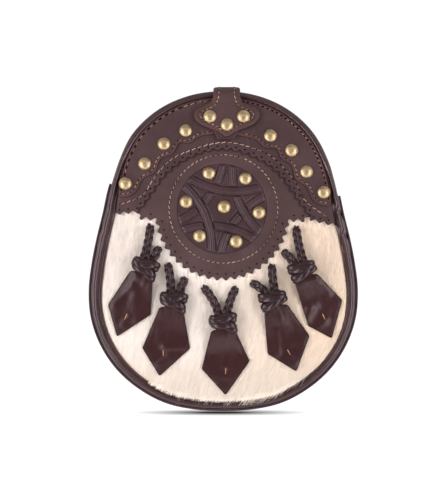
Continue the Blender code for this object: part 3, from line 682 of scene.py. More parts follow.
def make_front_roll():
    sides, step = 28, 0.75
    count = round(360 / step)
    points, along, centre = [], [], None
    for i in range(count):
        angle = -180 + step * i
        radius, inset, z, beside = front_roll(angle)
        fuller = ARCH_FULLER * smooth((88 - abs(angle)) / 20)
        last, centre, into = centre, rim(angle, inset + fuller), inward(angle)
        along.append(along[-1] + (centre - last).length if along else 0.0)
        for k, (x, up) in enumerate(roll_profile(radius + fuller, beside, sides)):
            pucker = 1 + wrinkle(angle, 2 * math.pi * k / sides) * (0.35 if up > 0 else 0.0)
            p = centre + into * (x * pucker)
            points.append((p.x, p.y, z + fuller + up * pucker))
    faces = loft_faces(count, sides, closed=True)
    uvs = tube_uvs(along, sides)
    mesh_piece("front_roll_leather", points, faces, "roll", SMOOTH, ["front_roll"], uvs=uvs)
    for name, angles in (("left", np.arange(-171.0, -58.0, 1.5)), ("right", np.arange(66.0, 100.0, 1.5))):
        line = [leather_rim(a, -0.35) for a in angles]
        track = [on_front(p.x, p.y, 0.75 + 0.15 * wavy(p.x, p.y, 9.0, 5.0)) for p in line]
        widths = [0.34 * smooth(min(i, len(track) - 1 - i) / 8) + 0.06 for i in range(len(track))]
        points, faces = tube(track, widths, widths, 6), loft_faces(len(track), 6)
        mesh_piece(f"binding_edge_{name}", points, faces, "binding", SMOOTH)


def make_gusset():
    """The side wall: it sags in soft folds, and its thin edge stands outside the front roll."""
    steps, degrees = 16, 1.25
    count = round((360 - MOUTH_LEFT - MOUTH_RIGHT) / degrees) + 1
    points, uvs = [], []
    for i in range(count):
        angle = MOUTH_RIGHT + degrees * i
        low = back_z(rim(angle, BACK_ROLL).y) + BACK / 2 + BACK_ROLL + 0.1
        high = front_roll(angle)[2] + GUSSET_RISE - GUSSET_LOWER
        outer, inner = [], []
        for k in range(steps + 1):
            t = k / steps
            fold = 0.9 * wavy(angle * 1.5, t * 14, 13.0, 5.0) + 0.35 * wavy(angle * 1.5, t * 30, 5.0, 9.0)
            inset = GUSSET_WAIST * (1 - t) ** 2 + math.sin(math.pi * t) * (0.5 - 0.8 * fold)
            wall = GUSSET + (GUSSET_EDGE - GUSSET) * smooth((t - 0.75) / 0.25)
            for side, depth in ((outer, 0.0), (inner, wall)):
                p = rim(angle, max(0.0, inset) + depth)
                side.append((p.x, p.y, low + (high - low) * t))
        points += outer + inner[::-1]
        uvs += [(angle * 1.55, k * 2.0) for k in range(2 * steps + 2)]
    faces = loft_faces(count, 2 * steps + 2)
    mesh_piece("gusset_leather", points, faces, "roll", SMOOTH, ["gusset"], uvs=uvs, sharp=60.0)


def make_back():
    edge = [rim(a, 2 * BACK_ROLL + 0.1) for a in ROUND]

    def place(x, y, height):
        return on_back(x, y, height - BACK)

    def sag(x, y):
        return 0.25 * wavy(x, y, 40.0, 2.0)

    made = plate(
        "back_leather", edge, (0.0, BACK), place, "smooth suede", SMOOTH, ["back_panel"],
        lift=sag, spacing=5.0,
    )
    made.data.flip_normals()
    sides, count = 20, 240
    points = []
    for i in range(count):
        angle = -180 + 360 * i / count
        centre, into = rim(angle, BACK_ROLL), inward(angle)
        for k in range(sides):
            a = 2 * math.pi * k / sides
            swell = BACK_ROLL * (0.96 + 0.04 * wavy(angle, a * 9, 7.0, 4.0))
            p = centre - into * (swell * math.cos(a))
            points.append((p.x, p.y, back_z(centre.y) + BACK / 2 + swell * math.sin(a)))
    faces, uvs = loft_faces(count, sides, closed=True), tube_uvs([i * 2.4 for i in range(count)], sides)
    mesh_piece("back_roll_leather", points, faces, "roll", SMOOTH, ["back_roll"], uvs=uvs)
    around = [rim(a, 2 * BACK_ROLL + SEAM_INSET) for a in np.arange(-180, 181, 2.0)]
    stitches("back_seam_stitches", [around], on_back, 0.0, SMOOTH)


def make_strap_loop():
    """A band of leather across the back, sewn along its two long edges."""
    low, high = LOOP_LOW - LOOP_RISE, LOOP_HIGH + LOOP_RISE
    inner = [(y, back_z(y) - GAP) for y in (low - LOOP_SEAM, low, high, high + LOOP_SEAM)]
    inner[2:2] = [(LOOP_LOW, LOOP_LEATHER), (LOOP_HIGH, LOOP_LEATHER)]
    fine = spaced(inner, 0.8)
    step = (fine[1] - fine[0]).length
    total = step * (len(fine) - 1)

    def place(x, d, height):
        i = min(max(0, int(d / step)), len(fine) - 2)
        y, z = fine[i].lerp(fine[i + 1], min(1.0, max(0.0, d / step - i)))
        return Vector((x, y, max(0.0, z - height)))

    half = LOOP_HALF_WIDTH
    loop = polygon([(-half, 0), (half, 0), (half, total), (-half, total)], 2.0)
    made = plate("strap_loop_leather", loop, (0.0, LOOP_LEATHER), place, "matt edge", MATT, ["strap_loop"])
    made.data.flip_normals()
    rows = [2.2, LOOP_SEAM - 2.0, total - LOOP_SEAM + 2.0, total - 2.2]
    paths = [[(2.5 - half, d), (half - 2.5, d)] for d in rows]
    stitches("strap_loop_stitches", paths, place, LOOP_LEATHER, MATT)


# ---------------------------------------------------------------- cowhide and its hair

HAIR_TINTS = (1.0, 0.895, 0.835), (0.95, 0.77, 0.62), (0.86, 0.74, 0.64), (0.84, 0.7, 0.57)
HAIRS, HAIR_PIECES, HAIR_LENGTH, HAIR_HALF_WIDTH, CLUMP = 120000, 2, (6.0, 11.0), 0.1, 2.6
HAIR_X, HAIR_Y, HAIR_BATCH = (-84, 84), (-103, 30.0), 30000  # roots are drawn within these, in batches
HAIR_RISE = ((0.0, 0.0), (0.5, 0.5), (1.0, 0.7))  # share of its length, height
FRINGE, FRINGE_ANGLES = 900, (146.0, 212.0)
TUFTS = (  # degrees round the rim from the top, spread in degrees, hairs, the way they lean
    *((-176.0, 4.0, 12, 0.6), (176.0, 4.5, 14, 0.7), (168.0, 3.5, 75, 0.8), (160.0, 5.0, 90, 0.9)),
    *((154.5, 2.6, 75, 1.0), (149.0, 3.0, 12, 1.0), (143.0, 3.0, 8, 0.8), (-163.0, 3.0, 6, 0.5)),
)
TUFT_HALF_WIDTH, TUFT_TINT = 0.05, (0.75, 0.64, 0.55)


def hair_direction(x, y):
    """The way the hair lies: straight down at the top, swept to the lower left further down."""
    sweep = 0.62 * smooth((8 - y) / 95) * (0.3 + 0.7 * smooth((x + 85) / 170))
    sweep += 0.1 * wavy(x, y, 26.0, 1.0) + 0.06 * wavy(x, y, 9.0, 6.0)
    return Vector((-sweep, -1.0)).normalized()


def hair_tint(x, y):
    """Cream, more tan towards the right, duller at the bottom, and streaked."""
    cream, right, low, streak = (np.array(tint) for tint in HAIR_TINTS)
    tint = cream + (right - cream) * 0.95 * smooth((x + 25) / 92)
    tint = tint + (low - tint) * 0.8 * smooth((-55 - y) / 35)
    return tint + (streak - tint) * max(0.0, 0.4 * wavy(x * 2.4, y * 0.5, 12.0, 8.0))


def make_hide():
    edge = [leather_rim(a) for a in ROUND]
    plate("cowhide", edge, (-2.0, 0.0), on_front, "skin suede", "cowhide", ["hide_front"], spacing=4.0)


def hair_piece(name, strands):
    """Tapering strips from rows of points along, half width, side and tint."""
    points, faces, tints = [], [], []
    for track, half, side, tint in strands:
        start, last = len(points), len(track) - 1
        for i, p in enumerate(track[:-1]):
            w = half * (1 - 0.35 * i / last)
            points += [p - side * w, p + side * w]
        tip = start + 2 * last
        points.append(track[-1])
        faces += [(a, a + 1, a + 3, a + 2) for a in range(start, tip - 2, 2)]
        faces.append((tip - 2, tip - 1, tip))
        tints += [(*tint, 1.0)] * (2 * last + 1)
    made = mesh_piece(name, points, faces, "hair", "cowhide", sharp=80.0)
    layer = made.data.color_attributes.new("tint", "FLOAT_COLOR", "POINT")
    layer.data.foreach_set("color", np.array(tints, np.float32).ravel())


def hair(rng, root, tip, along, lie):
    """One hair: its points, half width, the way its flat side lies, and its tint."""
    streak = Vector((round((root.x - 0.25 * root.y) / 0.8), round(root.y / 8.0), 0))
    tone = 0.985 + rng.gauss(0, 0.04) + 0.06 * (noise.cell(streak) - 0.5)
    track = [on_front(*root.lerp(tip, t), height * lie) for t, height in HAIR_RISE]
    roll = rng.gauss(0, 0.4)
    side = Vector((-along.y, along.x, 0)) * math.cos(roll) + Vector((0, 0, math.sin(roll)))
    return track, HAIR_HALF_WIDTH, side, np.minimum(1.0, hair_tint(root.x, root.y) * tone)


def over_binding(rng, angle, inset, lean, length, width, tint):
    """A hair from the hide's rim out over the binding."""
    root, along = leather_rim(angle, inset), Vector((-lean, -1.0)).normalized()
    track = []
    for t in (0.0, 0.2, 0.4, 0.6, 0.8, 1.0):
        q = root + along * (length * t)
        beyond = beyond_rim(q.x, q.y)
        height = 0.7 + 1.3 * smooth((beyond + 2.5) / 3.0) + 1.9 * smooth((beyond - 1.0) / 2.2)
        track.append(on_front(q.x, q.y, height - 2.4 * smooth((beyond - 3.0) / 5.0)))
    tone = 1 + rng.gauss(0, 0.06)
    return track, width, Vector((-along.y, along.x, 0)), np.minimum(1.0, np.array(tint) * tone)


def binding_tufts(rng):
    """Hairs over the bottom binding: an even fringe, and tufts further out, combed to the lower left."""
    found = []
    for _ in range(FRINGE):
        angle, inset = rng.uniform(*FRINGE_ANGLES), rng.uniform(0.6, 3.2)
        lean, length = 0.55 + rng.gauss(0, 0.15), inset + rng.uniform(0.4, 2.2)
        tint = hair_tint(*leather_rim(angle, inset))
        found.append(over_binding(rng, angle, inset, lean, length, HAIR_HALF_WIDTH, tint))
    for middle, spread, count, lean in TUFTS:
        for _ in range(count):
            angle, length = middle + rng.gauss(0, spread * 0.5), 4.2 + 6.0 * rng.random() ** 2
            lean_here, inset = lean + rng.gauss(0, 0.2), rng.uniform(0.5, 2.5)
            found.append(over_binding(rng, angle, inset, lean_here, length, TUFT_HALF_WIDTH, TUFT_TINT))
    return found


def make_hair(facing_loop, band_loop):
    """Short hair that lies along the hide wherever the leather facings leave it bare."""
    rng = random.Random(4)
    rim_loop = [leather_rim(a, -0.4) for a in ROUND]
    roots, strands = [], []
    while len(roots) < HAIRS:
        batch = np.array([(rng.uniform(*HAIR_X), rng.uniform(*HAIR_Y)) for _ in range(HAIR_BATCH)])
        kept = inside_mask(batch, rim_loop)
        kept &= ~inside_mask(batch, facing_loop) & ~inside_mask(batch, band_loop)
        roots += batch[kept].tolist()
    for x, y in roots[:HAIRS]:
        along, length = hair_direction(x, y), rng.uniform(*HAIR_LENGTH)
        along = Vector((along.x + rng.gauss(0, 0.09), along.y)).normalized()
        root, clump = Vector((x, y)), Vector((round(x / CLUMP) * CLUMP, round(y / CLUMP) * CLUMP))
        tip = root + along * length
        tip += (clump + along * length - tip) * 0.3
        over = beyond_rim(tip.x, tip.y) - 0.4
        if over > 0:
            tip = root.lerp(tip, max(0.25, 1 - over / length))
            if beyond_rim(tip.x, tip.y) > 0.7:
                continue
        strands.append(hair(rng, root, tip, along, rng.uniform(0.35, 1.0)))
    strands += binding_tufts(rng)
    for n in range(HAIR_PIECES):
        hair_piece(f"cowhide_hair_{n + 1}", strands[n::HAIR_PIECES])


# ---------------------------------------------------------------- leather facings

PINK_PITCH, PINK_DEPTH, PINK_STEPS = 5.9, 2.2, 8
DOT_RADIUS, DOT_SIDES, FACING_DOT_INSET, BAND_DOT_INSET = 0.6, 10, 4.4, 3.4
WINDOW_SIDES = 120
STITCH_ARC = (  # degrees from the top about DISC_CENTRE, radius
    *((-85.3, 68.6), (-79.1, 56.1), (-74.5, 53.1), (-68.7, 52.0), (-55.7, 50.6), (-36.2, 48.4)),
    *((1.6, 47.4), (36.3, 49.4), (55.4, 50.8), (68.3, 52.8), (82.6, 56.3), (92.2, 69.8)),
)
# painted shade: the band's face is near-black within this of its toothed edge, for the shadow under its teeth
BAND_PAINTED_SHADE = 0.55  # the band is dark within this of its cut edge
DARK_STITCHES = (27.0, 53.0)  # their x, where the thread is dark and its holes show
PALE_STITCHES_X = -28.0  # the arch's thread is pale from here to the tab
RING_STITCH_CENTRE, RING_STITCH_RADIUS = (0.1, 26.3), 36.2
RIBBONS, RIBBON_FIRST, RIBBON_NEAR, RIBBON_BOW = 6, 82.5, 12.0, 54.0  # count, degrees, mm, mm
RIBBON_HALF, RELIEF, RIBBON_GROOVE, GROOVE_WIDTH = 2.5, 0.9, 0.6, 1.1
RIBBON_ORDER = (0, 2, 5, 3, 1, 4)  # each passes over those after it
YOKE_BORDER = 2.1
TUCK_WIDTH, TUCK = 1.8, 0.7  # the yoke's edge goes down beside the roll


def pinked(path, rounded):
    """A toothed edge along a path, rounded or sharp, and its perforation places, one inside each tooth."""
    line = spaced(path, PINK_PITCH / PINK_STEPS)
    edge, dots = [], []
    for i, p in enumerate(line):
        t = i / PINK_STEPS % 1
        tooth = 0.5 - 0.5 * math.cos(2 * math.pi * t) if rounded else 1 - abs(2 * t - 1)
        up = left_of(line, i)
        edge.append(p - up * (PINK_DEPTH * (tooth - 0.5)))
        if i % PINK_STEPS == PINK_STEPS // 2:
            dots.append(edge[-1] + up * (FACING_DOT_INSET if rounded else BAND_DOT_INSET))
    return edge, dots


def compass_arc(centre, radius, first, last):
    count = round(abs(last - first) / 2)
    return [compass_point(centre, radius, first + (last - first) * i / count) for i in range(count + 1)]


def facing_edge():
    start = math.degrees(math.acos((RIGHT_SHOULDER[0][1] - DISC_CENTRE[1]) / DISC_RADIUS))
    round_part = compass_arc(DISC_CENTRE, DISC_RADIUS, 358 - start, start + 2)
    left, right = leather_rim_at(FACING_LEFT_Y, -1), leather_rim_at(FACING_RIGHT_Y, 1)
    return [left, *LEFT_SHOULDER, *round_part, *RIGHT_SHOULDER, right]


def band_edge():
    half = [(a, table(BAND_EDGE, a)) for a in range(0, 90, 2)] + [BAND_EDGE[-1]]
    curve = [(-a, r) for a, r in reversed(half)] + half[1:]
    arch = [compass_point(DISC_CENTRE, r, a) for a, r in curve]
    left, right = leather_rim_at(BAND_LEFT_Y, -1), leather_rim_at(BAND_RIGHT_Y, 1)
    return [left, *arch, (arch[-1].x + 3.0, BAND_RIGHT_Y + 3.6), right]


def yoke_edge(further=0.0):
    """The scallops below the studs, or a line within them."""
    line = smooth_line([(-78.0, 42.0), *YOKE_STUDS[:4], YOKE_TOP, *YOKE_STUDS[4:], (79.5, 36.0)], 24)
    line = spaced(line, 1.0)
    edge = []
    for i, p in enumerate(line):
        away = min((p - Vector(s)).length for s in YOKE_STUDS)
        lobe = 0.5 + 0.5 * math.cos(math.pi * min(1.0, away / LOBE_REACH))
        edge.append(p - left_of(line, i) * (VALLEY + (LOBE - VALLEY) * lobe - further))
    return edge


def within_rim(path, further):
    return kept_inside(path, [leather_rim(a, further) for a in ROUND])


def closed_over_top(edge):
    """A loop from a lower edge, left to right, and the rim of the leather over the top back to its start."""
    every = [leather_rim(a, -GAP) for a in np.arange(-110, 110, 1.5)]
    first, last = (min(range(len(every)), key=lambda i: (every[i] - edge[end]).length) for end in (0, -1))
    return edge + every[last - 1 : first : -1]


def soft(size, seed, tuck=0.0):
    """Soft unevenness of a facing, and how far it is drawn down along the rim."""
    return lambda x, y: size * wavy(x, y, 22.0, seed) - tuck * smooth(1 + beyond_rim(x, y) / TUCK_WIDTH)


def yoke_lift():
    """The yoke's lift, sewn down along the scallops and tucked beside the roll, and its points."""
    line = yoke_edge()
    edge, _ = soft_edge(line + line[::-1], YOKE_BORDER, 0.75, 0.22)
    general = soft(0.15, 3.5, TUCK)
    rows = []
    for share in (0.3, 0.6, 0.9, 1.2):
        rows += [p + left_of(line, i) * (YOKE_BORDER * share) for i, p in enumerate(line)]
    rows += [leather_rim(a, d) for a in np.arange(-75, 76, 0.9) for d in (0.5, 1.1, 1.7, 2.4)]
    return (lambda x, y: edge(x, y) + general(x, y)), rows


def punched(dots):
    return [circle(p, DOT_RADIUS, DOT_SIDES) for p in dots]


def make_facings():
    edge, dots = pinked(facing_edge(), True)
    facing, facing_dots = closed_over_top(edge), [p for p in dots if p.y < 23.0]
    window = circle(WINDOW_CENTRE, WINDOW_RADIUS - 0.2, WINDOW_SIDES)
    ring, _ = soft_edge(window, 1.2, 0.35)
    general = soft(0.12, 6.0)
    radii = [WINDOW_RADIUS + away for away in (0.3, 0.6, 0.9, 1.3)]
    rows = [p for radius in radii for p in circle(WINDOW_CENTRE, radius, WINDOW_SIDES)]
    plate(
        "round_facing_leather", facing, FACING, on_front, "facing edge", MATT, ["round_facing"],
        [window, *punched(facing_dots)], lift=lambda x, y: ring(x, y) + general(x, y), extra=rows,
    )
    edge, dots = pinked(band_edge(), False)
    band, band_dots = closed_over_top(edge), [p for p in dots if abs(p.x) < 73.0]
    # the band's face is painted near-black along its toothed edge, as shade
    plate(
        "horseshoe_band_leather", band, BAND, on_front, "matt edge dark_edge", MATT, ["horseshoe_band"],
        punched(band_dots), lift=soft(0.12, 1.5, 0.5), border=BAND_PAINTED_SHADE,
    )
    lift, rows = yoke_lift()
    yoke = closed_over_top(within_rim(yoke_edge(), 0.5))
    plate(
        "yoke_leather", yoke, YOKE, on_front, "matt edge border", MATT, ["scalloped_yoke"],
        lift=lift, bevel=0.5, extra=rows, border=YOKE_BORDER,
    )
    make_front_stitches(lambda x, y, height: on_front(x, y, height + lift(x, y)))
    make_perforations((facing_dots, FACING), (band_dots, BAND))
    return facing, band


def make_perforations(*rows):
    """Near-black discs of painted shade at the bottoms of the punched holes."""
    points, faces = [], []
    for dots, heights in rows:
        for dot in dots:
            faces.append(tuple(range(len(points), len(points) + DOT_SIDES)))
            bottom = circle(dot, DOT_RADIUS + 0.02, DOT_SIDES)
            points += [on_front(p.x, p.y, sum(heights) / 2) for p in bottom]
    mesh_piece("perforation_shade", points, faces, "hole", MATT)


def make_front_stitches(on_yoke):
    arch = [leather_rim(a, 1.5) for a in np.arange(-56.0, 61.0, 1.0)]
    split = [i for i, p in enumerate(arch) if abs(p.x - TAB_X) < 10.5]
    left, right = arch[: split[0]], arch[split[-1] + 1 :]
    scallop = within_rim(yoke_edge(YOKE_BORDER), 1.5)
    for name, paths in (
        ("arch_stitches_top", [[p for p in left if p.x > PALE_STITCHES_X]]),
        ("arch_stitches_left", [[p for p in left if p.x <= PALE_STITCHES_X]]),
        ("arch_stitches_right", [right]),
        ("yoke_stitches", [[p for p in scallop if p.x < -9.0], [p for p in scallop if p.x > 14.0]]),
    ):
        stitches(name, paths, on_yoke, YOKE[1] + 0.05, MATT)
    curve = smooth_line([compass_point(DISC_CENTRE, r, a) for a, r in STITCH_ARC], 8)
    first, last = DARK_STITCHES
    paths = [[p for p in curve if p.x <= first], [p for p in curve if p.x >= last]]
    worn = [[p for p in curve if first < p.x < last]]
    stitches("band_stitches", paths, on_front, BAND[1] + 0.1, MATT)
    stitches("band_stitches_worn", worn, on_front, BAND[1] + 0.1, MATT)
    ring = compass_arc(RING_STITCH_CENTRE, RING_STITCH_RADIUS, 0, 360)
    stitches("ring_stitches", [ring], on_front, FACING[1] + 0.05, MATT)


def ribbons_height(x, y):
    """The height of the interlaced ribbons: rounded bands, each on an arc bowed towards the middle."""
    reach = RIBBON_NEAR + RIBBON_BOW
    for which in RIBBON_ORDER:
        turn = math.radians(RIBBON_FIRST + 360 / RIBBONS * which)
        dx, dy = x - WINDOW_CENTRE[0] - reach * math.cos(turn), y - WINDOW_CENTRE[1] - reach * math.sin(turn)
        away = abs(math.hypot(dx, dy) - RIBBON_BOW)
        if away < RIBBON_HALF:
            across = away / RIBBON_HALF
            return RELIEF * (1 - across**4) ** 0.7 - 0.45 * math.exp(-(((across - 0.45) / 0.15) ** 2))
        if away < RIBBON_HALF + GROOVE_WIDTH:
            return -RIBBON_GROOVE * math.sin(math.pi * (away - RIBBON_HALF) / GROOVE_WIDTH)
    return 0.0


def make_medallion():
    """The embossed disc, sunk in its window."""

    def relief(x, y):
        away = math.hypot(x - WINDOW_CENTRE[0], y - WINDOW_CENTRE[1])
        return ribbons_height(x, y) * smooth((WINDOW_RADIUS - 0.6 - away) / 1.2) + 0.06 * wavy(x, y, 6.0, 2.0)

    outer, heights = circle(WINDOW_CENTRE, WINDOW_RADIUS - 0.1, WINDOW_SIDES), (0.1, DISC_TOP - 0.3)
    plate(
        "embossed_disc_leather", outer, heights, on_front, "disc edge", MATT, ["embossed_disc"],
        lift=relief, spacing=0.45,
    )


# ---------------------------------------------------------------- closing tab

TAB_BORDER, CURL = 2.8, 0.5
TAB_SEAM_START, TAB_SEAM_END, ANCHOR_ROWS, ANCHOR_HALF = 3.2, 3.0, (3.0, 16.0), 6.2


def tab_line():
    """The tab's inner face from its tip over the top and down the back, as points close together."""
    front = [TAB_TIP_Y + (TAB_FRONT_END_Y - TAB_TIP_Y) * i / 4 for i in range(5)]
    path = [(y, front_z(TAB_X, y) + TAB[0]) for y in front]
    path += [*TAB_BEND, *((y, back_z(y) - GAP) for y in TAB_REAR_Y)]
    return spaced(smooth_line(path, 10), 0.5)


def make_tab():
    line = tab_line()
    step, thickness = (line[1] - line[0]).length, TAB[1] - TAB[0]
    total = step * (len(line) - 1)

    def place(x, d, height):
        at = min(max(0.0, d / step), len(line) - 1.001)
        i = int(at)
        p = line[i].lerp(line[i + 1], at - i)
        out = left_of(line, i).lerp(left_of(line, i + 1), at - i).normalized()
        on_face = 1.0 - smooth((p.x - TAB_FRONT_END_Y) / 4.0)
        drop = (front_z(TAB_X + x, 0) - front_z(TAB_X, 0)) * on_face
        q = p + out * height
        return Vector((TAB_X + x, q.x, q.y + drop - CURL * on_face * smooth((abs(x) - 10) / 12)))

    shape = [(h, d) for d, h in TAB_SHAPE if d < total] + [(TAB_SHAPE[-1][1], total)]
    right = spaced(smooth_line(shape, 6), 0.9)
    loop = right + [Vector((-p.x, p.y)) for p in reversed(right)]
    lift, rows = soft_edge(loop, TAB_BORDER, 0.85, 0.2)
    plate(
        "closing_tab_leather", loop, (0.0, thickness), place, "matt edge border", MATT, ["closing_tab"],
        spacing=1.6, bevel=0.5, lift=lift, extra=rows, border=TAB_BORDER,
    )
    insets = zip(offset_loop(loop, 2.3), offset_loop(loop, 3.8))
    inset = [near.lerp(far, smooth((far.y - 5) / 7)) for near, far in insets]
    sewn = [p for p in inset[: len(right)] if TAB_SEAM_START < p.y < total - TAB_SEAM_END]
    paths = [[Vector((0, 3.4)), *(Vector((side * p.x, p.y)) for p in sewn)] for side in (1, -1)]

    def on_tab(x, d, height):
        return place(x, d, height + lift(x, d))

    stitches("tab_stitches", paths, on_tab, thickness - 0.05, MATT)
    across = [[(-ANCHOR_HALF, total - up), (ANCHOR_HALF, total - up)] for up in ANCHOR_ROWS]
    stitches("tab_anchor_stitches", across, place, thickness, MATT)

    shape = polygon(TONGUE_SHAPE, 1.2)
    plate("tongue_leather", shape, TONGUE, on_front, "disc edge", MATT, ["tab_tongue"], bevel=0.45)
    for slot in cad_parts["press_stud"].material_slots:
        slot.material = M["steel"]


# ---------------------------------------------------------------- studs

STUD_RADIUS, STUD_TOP, STUD_SIDES, STUD_SHAPE, STUD_STEPS = 4.4, 2.2, 40, 2.35, 14


def make_studs():
    shares = [math.sin(math.pi / 2 * k / STUD_STEPS) for k in range(STUD_STEPS - 1, 0, -1)]
    profile = [(STUD_RADIUS * r, STUD_TOP * (1 - r**STUD_SHAPE) ** 0.8) for r in shares]
    profile.insert(0, (STUD_RADIUS, 0.0))
    shape = [Vector((p.x, p.y, z)) for r, z in profile for p in circle((0, 0), r, STUD_SIDES)]
    top = len(shape)
    shape.append(Vector((0, 0, STUD_TOP)))
    faces = loft_faces(len(profile), STUD_SIDES, capped=False) + [tuple(reversed(range(STUD_SIDES)))]
    last = top - STUD_SIDES
    faces += [(last + k, last + (k + 1) % STUD_SIDES, top) for k in range(STUD_SIDES)]
    for name, places, height in (
        ("yoke_stud", YOKE_STUDS, YOKE[1]),
        ("tab_stud", TAB_STUDS, TAB[1]),
        ("disc_stud", (MIDDLE_STUD, *circle(RING_CENTRE, RING_RADIUS, RING_STUDS, RING_FIRST)), DISC_TOP),
    ):
        for i, (x, y) in enumerate(places):
            normal = Vector((2 * BELLY_CURVE_X * x, 2 * BELLY_CURVE_Y * (y - BELLY_Y), 1.0)).normalized()
            turn, base = normal.to_track_quat("Z", "Y").to_matrix(), on_front(x, y, height + 0.1)
            points = [base + turn @ p for p in shape]
            mesh_piece(f"{name}_dome_{i + 1}", points, faces, "brass", "brass", [f"{name}_{i + 1}"])


# ---------------------------------------------------------------- tassels

KITE_FOLDS = (  # for each kite: ridges and dents from one point to another, their width and height
    (
        *(((-60.5, -24.0), (-72.5, -38.0), 2.4, 0.9), ((-58.6, -30.0), (-57.5, -46.0), 4.6, 1.0)),
        *(((-58.6, -16.5), (-57.5, -19.5), 2.4, 0.7), ((-64.0, -45.5), (-66.5, -51.0), 2.4, 0.6)),
    ),
    (
        *(((-48.9, -74.8), (-40.5, -70.0), 2.0, -0.5), ((-38.5, -66.0), (-26.0, -65.0), 2.6, 0.8)),
        *(((-42.0, -77.0), (-36.0, -73.0), 3.0, 0.6), ((-42.0, -55.0), (-40.0, -62.0), 5.0, 0.5)),
    ),
    (
        *(((1.5, -60.0), (1.5, -76.0), 5.5, 0.7), ((-8.5, -62.0), (-12.5, -77.0), 1.8, 0.35)),
        *(((10.0, -62.0), (15.0, -73.0), 1.8, 0.35), ((-4.0, -84.0), (3.0, -86.0), 3.0, 0.4)),
    ),
    (
        *(((35.2, -56.0), (36.2, -69.6), 2.6, 0.6), ((44.0, -72.0), (47.0, -77.0), 2.5, 0.6)),
        *(((46.0, -62.0), (53.0, -61.0), 3.5, 0.5), ((38.0, -48.0), (42.0, -54.0), 4.5, 0.5)),
    ),
    (
        *(((55.5, -46.0), (57.8, -40.0), 3.4, 1.3), ((57.8, -40.0), (61.5, -38.0), 3.2, 0.7)),
        *(((64.5, -51.0), (67.5, -48.5), 3.0, 0.9), ((53.0, -22.5), (61.0, -20.5), 2.8, 0.8)),
        ((61.0, -20.5), (70.0, -30.0), 2.8, 0.6),
    ),
)
KITE_STITCHES = (  # x, y, degrees
    *((-64.8, -45.4, 65.0), (-39.9, -69.8, 95.0), (1.6, -81.7, 88.0)),
    *((43.6, -69.2, 120.0), (66.8, -45.5, 115.0)),
)
PLAIT_SWAY, PLAIT_BOB, PLAIT_PERIOD = 1.45, 0.75, 13.5
STRIP, KNOT_STRIP, STRIP_SIDES = (1.55, 1.1), (2.05, 1.25), 10  # half width and half thickness of a strip
KNOT_TURNS = ((-2.2, -8.0, 0.0, 0.4), (1.9, 15.0, 0.5, 2.2))  # along, tilt in degrees, further out, phase
KNOT_FULLER, KNOT_STEPS, THONG_STEPS = 1.15, 96, 44
THONG_SINKS = 3.6  # how far its end goes down into its hole


def rounded_loop(corners, radius):
    """A polygon with its corners rounded, as a loop of points."""
    loop, steps = [], 5
    for i, corner in enumerate(corners):
        before, after = corners[i - 1] - corner, corners[(i + 1) % len(corners)] - corner
        reach = min(radius, before.length * 0.45, after.length * 0.45)
        a, b = corner + before.normalized() * reach, corner + after.normalized() * reach
        for k in range(steps + 1):
            t = k / steps
            loop.append(a * (1 - t) ** 2 + corner * (2 * t * (1 - t)) + b * t**2)
    fine = []
    for a, b in pairs(loop):
        fine += spaced([a, b], 1.2)[:-1] if (b - a).length > 2.4 else [a]
    return fine


def make_kite(name, knot, along, across, own, seed, folds, stitch):
    """A kite of soft leather: gathered where it leaves its knot, with its own folds and one small stitch."""
    x, y, lean = stitch
    dimple = ((x, y), (x, y + 0.1), 1.5, -0.45)
    folds = [(Vector(a), Vector(b), width, rise) for a, b, width, rise in (*folds, dimple)]

    def place(x, y, height):
        p = knot + along * y + across * x
        laid = KITE_LIFT - (KITE_LIFT - GAP - KITE_LEATHER / 2) * smooth(y / KITE_LAID)
        flare = smooth(y / 12) * smooth((52 - y) / 18)
        crease = 0.15 * wavy(x * 1.6, y * 0.5, 6.0, seed) + 0.5 * wavy(x, y, 14.0, seed + 3)
        gather = 0.3 * wavy(x * 3.0, y * 0.4, 4.0, seed + 7) * smooth((18 - y) / 12) * smooth((y - 2) / 4)
        fold = 0.0
        for a, b, width, rise in folds:
            near = a.lerp(b, min(1.0, max(0.0, (p - a).dot(b - a) / (b - a).length_squared)))
            fold += rise * math.exp(-((p - near).length_squared / width**2))
        return on_front(p.x, p.y, max(0.9, laid + flare * crease + gather + fold) + height)

    corners = [Vector((-half, y)) for y, half in KITE_NECK]
    corners += [Vector(((c - knot).dot(across), (c - knot).dot(along))) for c in own]
    corners += [Vector((half, y)) for y, half in reversed(KITE_NECK)]
    loop = rounded_loop(corners, 1.1)
    lift, rows = soft_edge(loop, 1.3, 0.35)
    heights = (-KITE_LEATHER / 2, KITE_LEATHER / 2)
    # the kite's face is painted near-black within 0.3 mm of its edge, as shade; its cut edge and underside
    # are dark leather
    plate(
        f"{name}_kite_leather", loop, heights, place, "kite dark_edge dark_edge", "kite_leather",
        [f"{name}_kite"], spacing=0.9, bevel=0.4, lift=lift, extra=rows, border=0.3,
    )
    run = Vector((math.cos(math.radians(lean)), math.sin(math.radians(lean)))) * 1.8
    ends = [Vector((x, y)) - knot + run * side for side in (-1, 0.1, 1)]
    ends = [Vector((p.dot(across), p.dot(along))) for p in ends]
    paths = [ends[:2], ends[1:]]
    stitches(f"{name}_kite_stitch", paths, place, heights[1] + 0.1, "kite_leather", "kite_stitch")


def plait(path, ups, sway, turns, phase, closed=False):
    """Three strips plaited along a path: each strip's points."""
    lengths = [0.0]
    for a, b in pairs(path):
        lengths.append(lengths[-1] + (b - a).length)
    whole, last = lengths[-1 if closed else -2], len(path) - 1
    tracks = []
    for k in range(3):
        track = []
        for i, p in enumerate(path):
            ends = (i - 1, (i + 1) % len(path)) if closed else (max(i - 1, 0), min(i + 1, last))
            side = (path[ends[1]] - path[ends[0]]).normalized().cross(ups[i]).normalized()
            t = 2 * math.pi * (turns * lengths[i] / whole + k / 3) + phase
            track.append(p + side * (sway * math.sin(t)) + ups[i] * (PLAIT_BOB * math.sin(2 * t)))
        tracks.append(track)
    return tracks


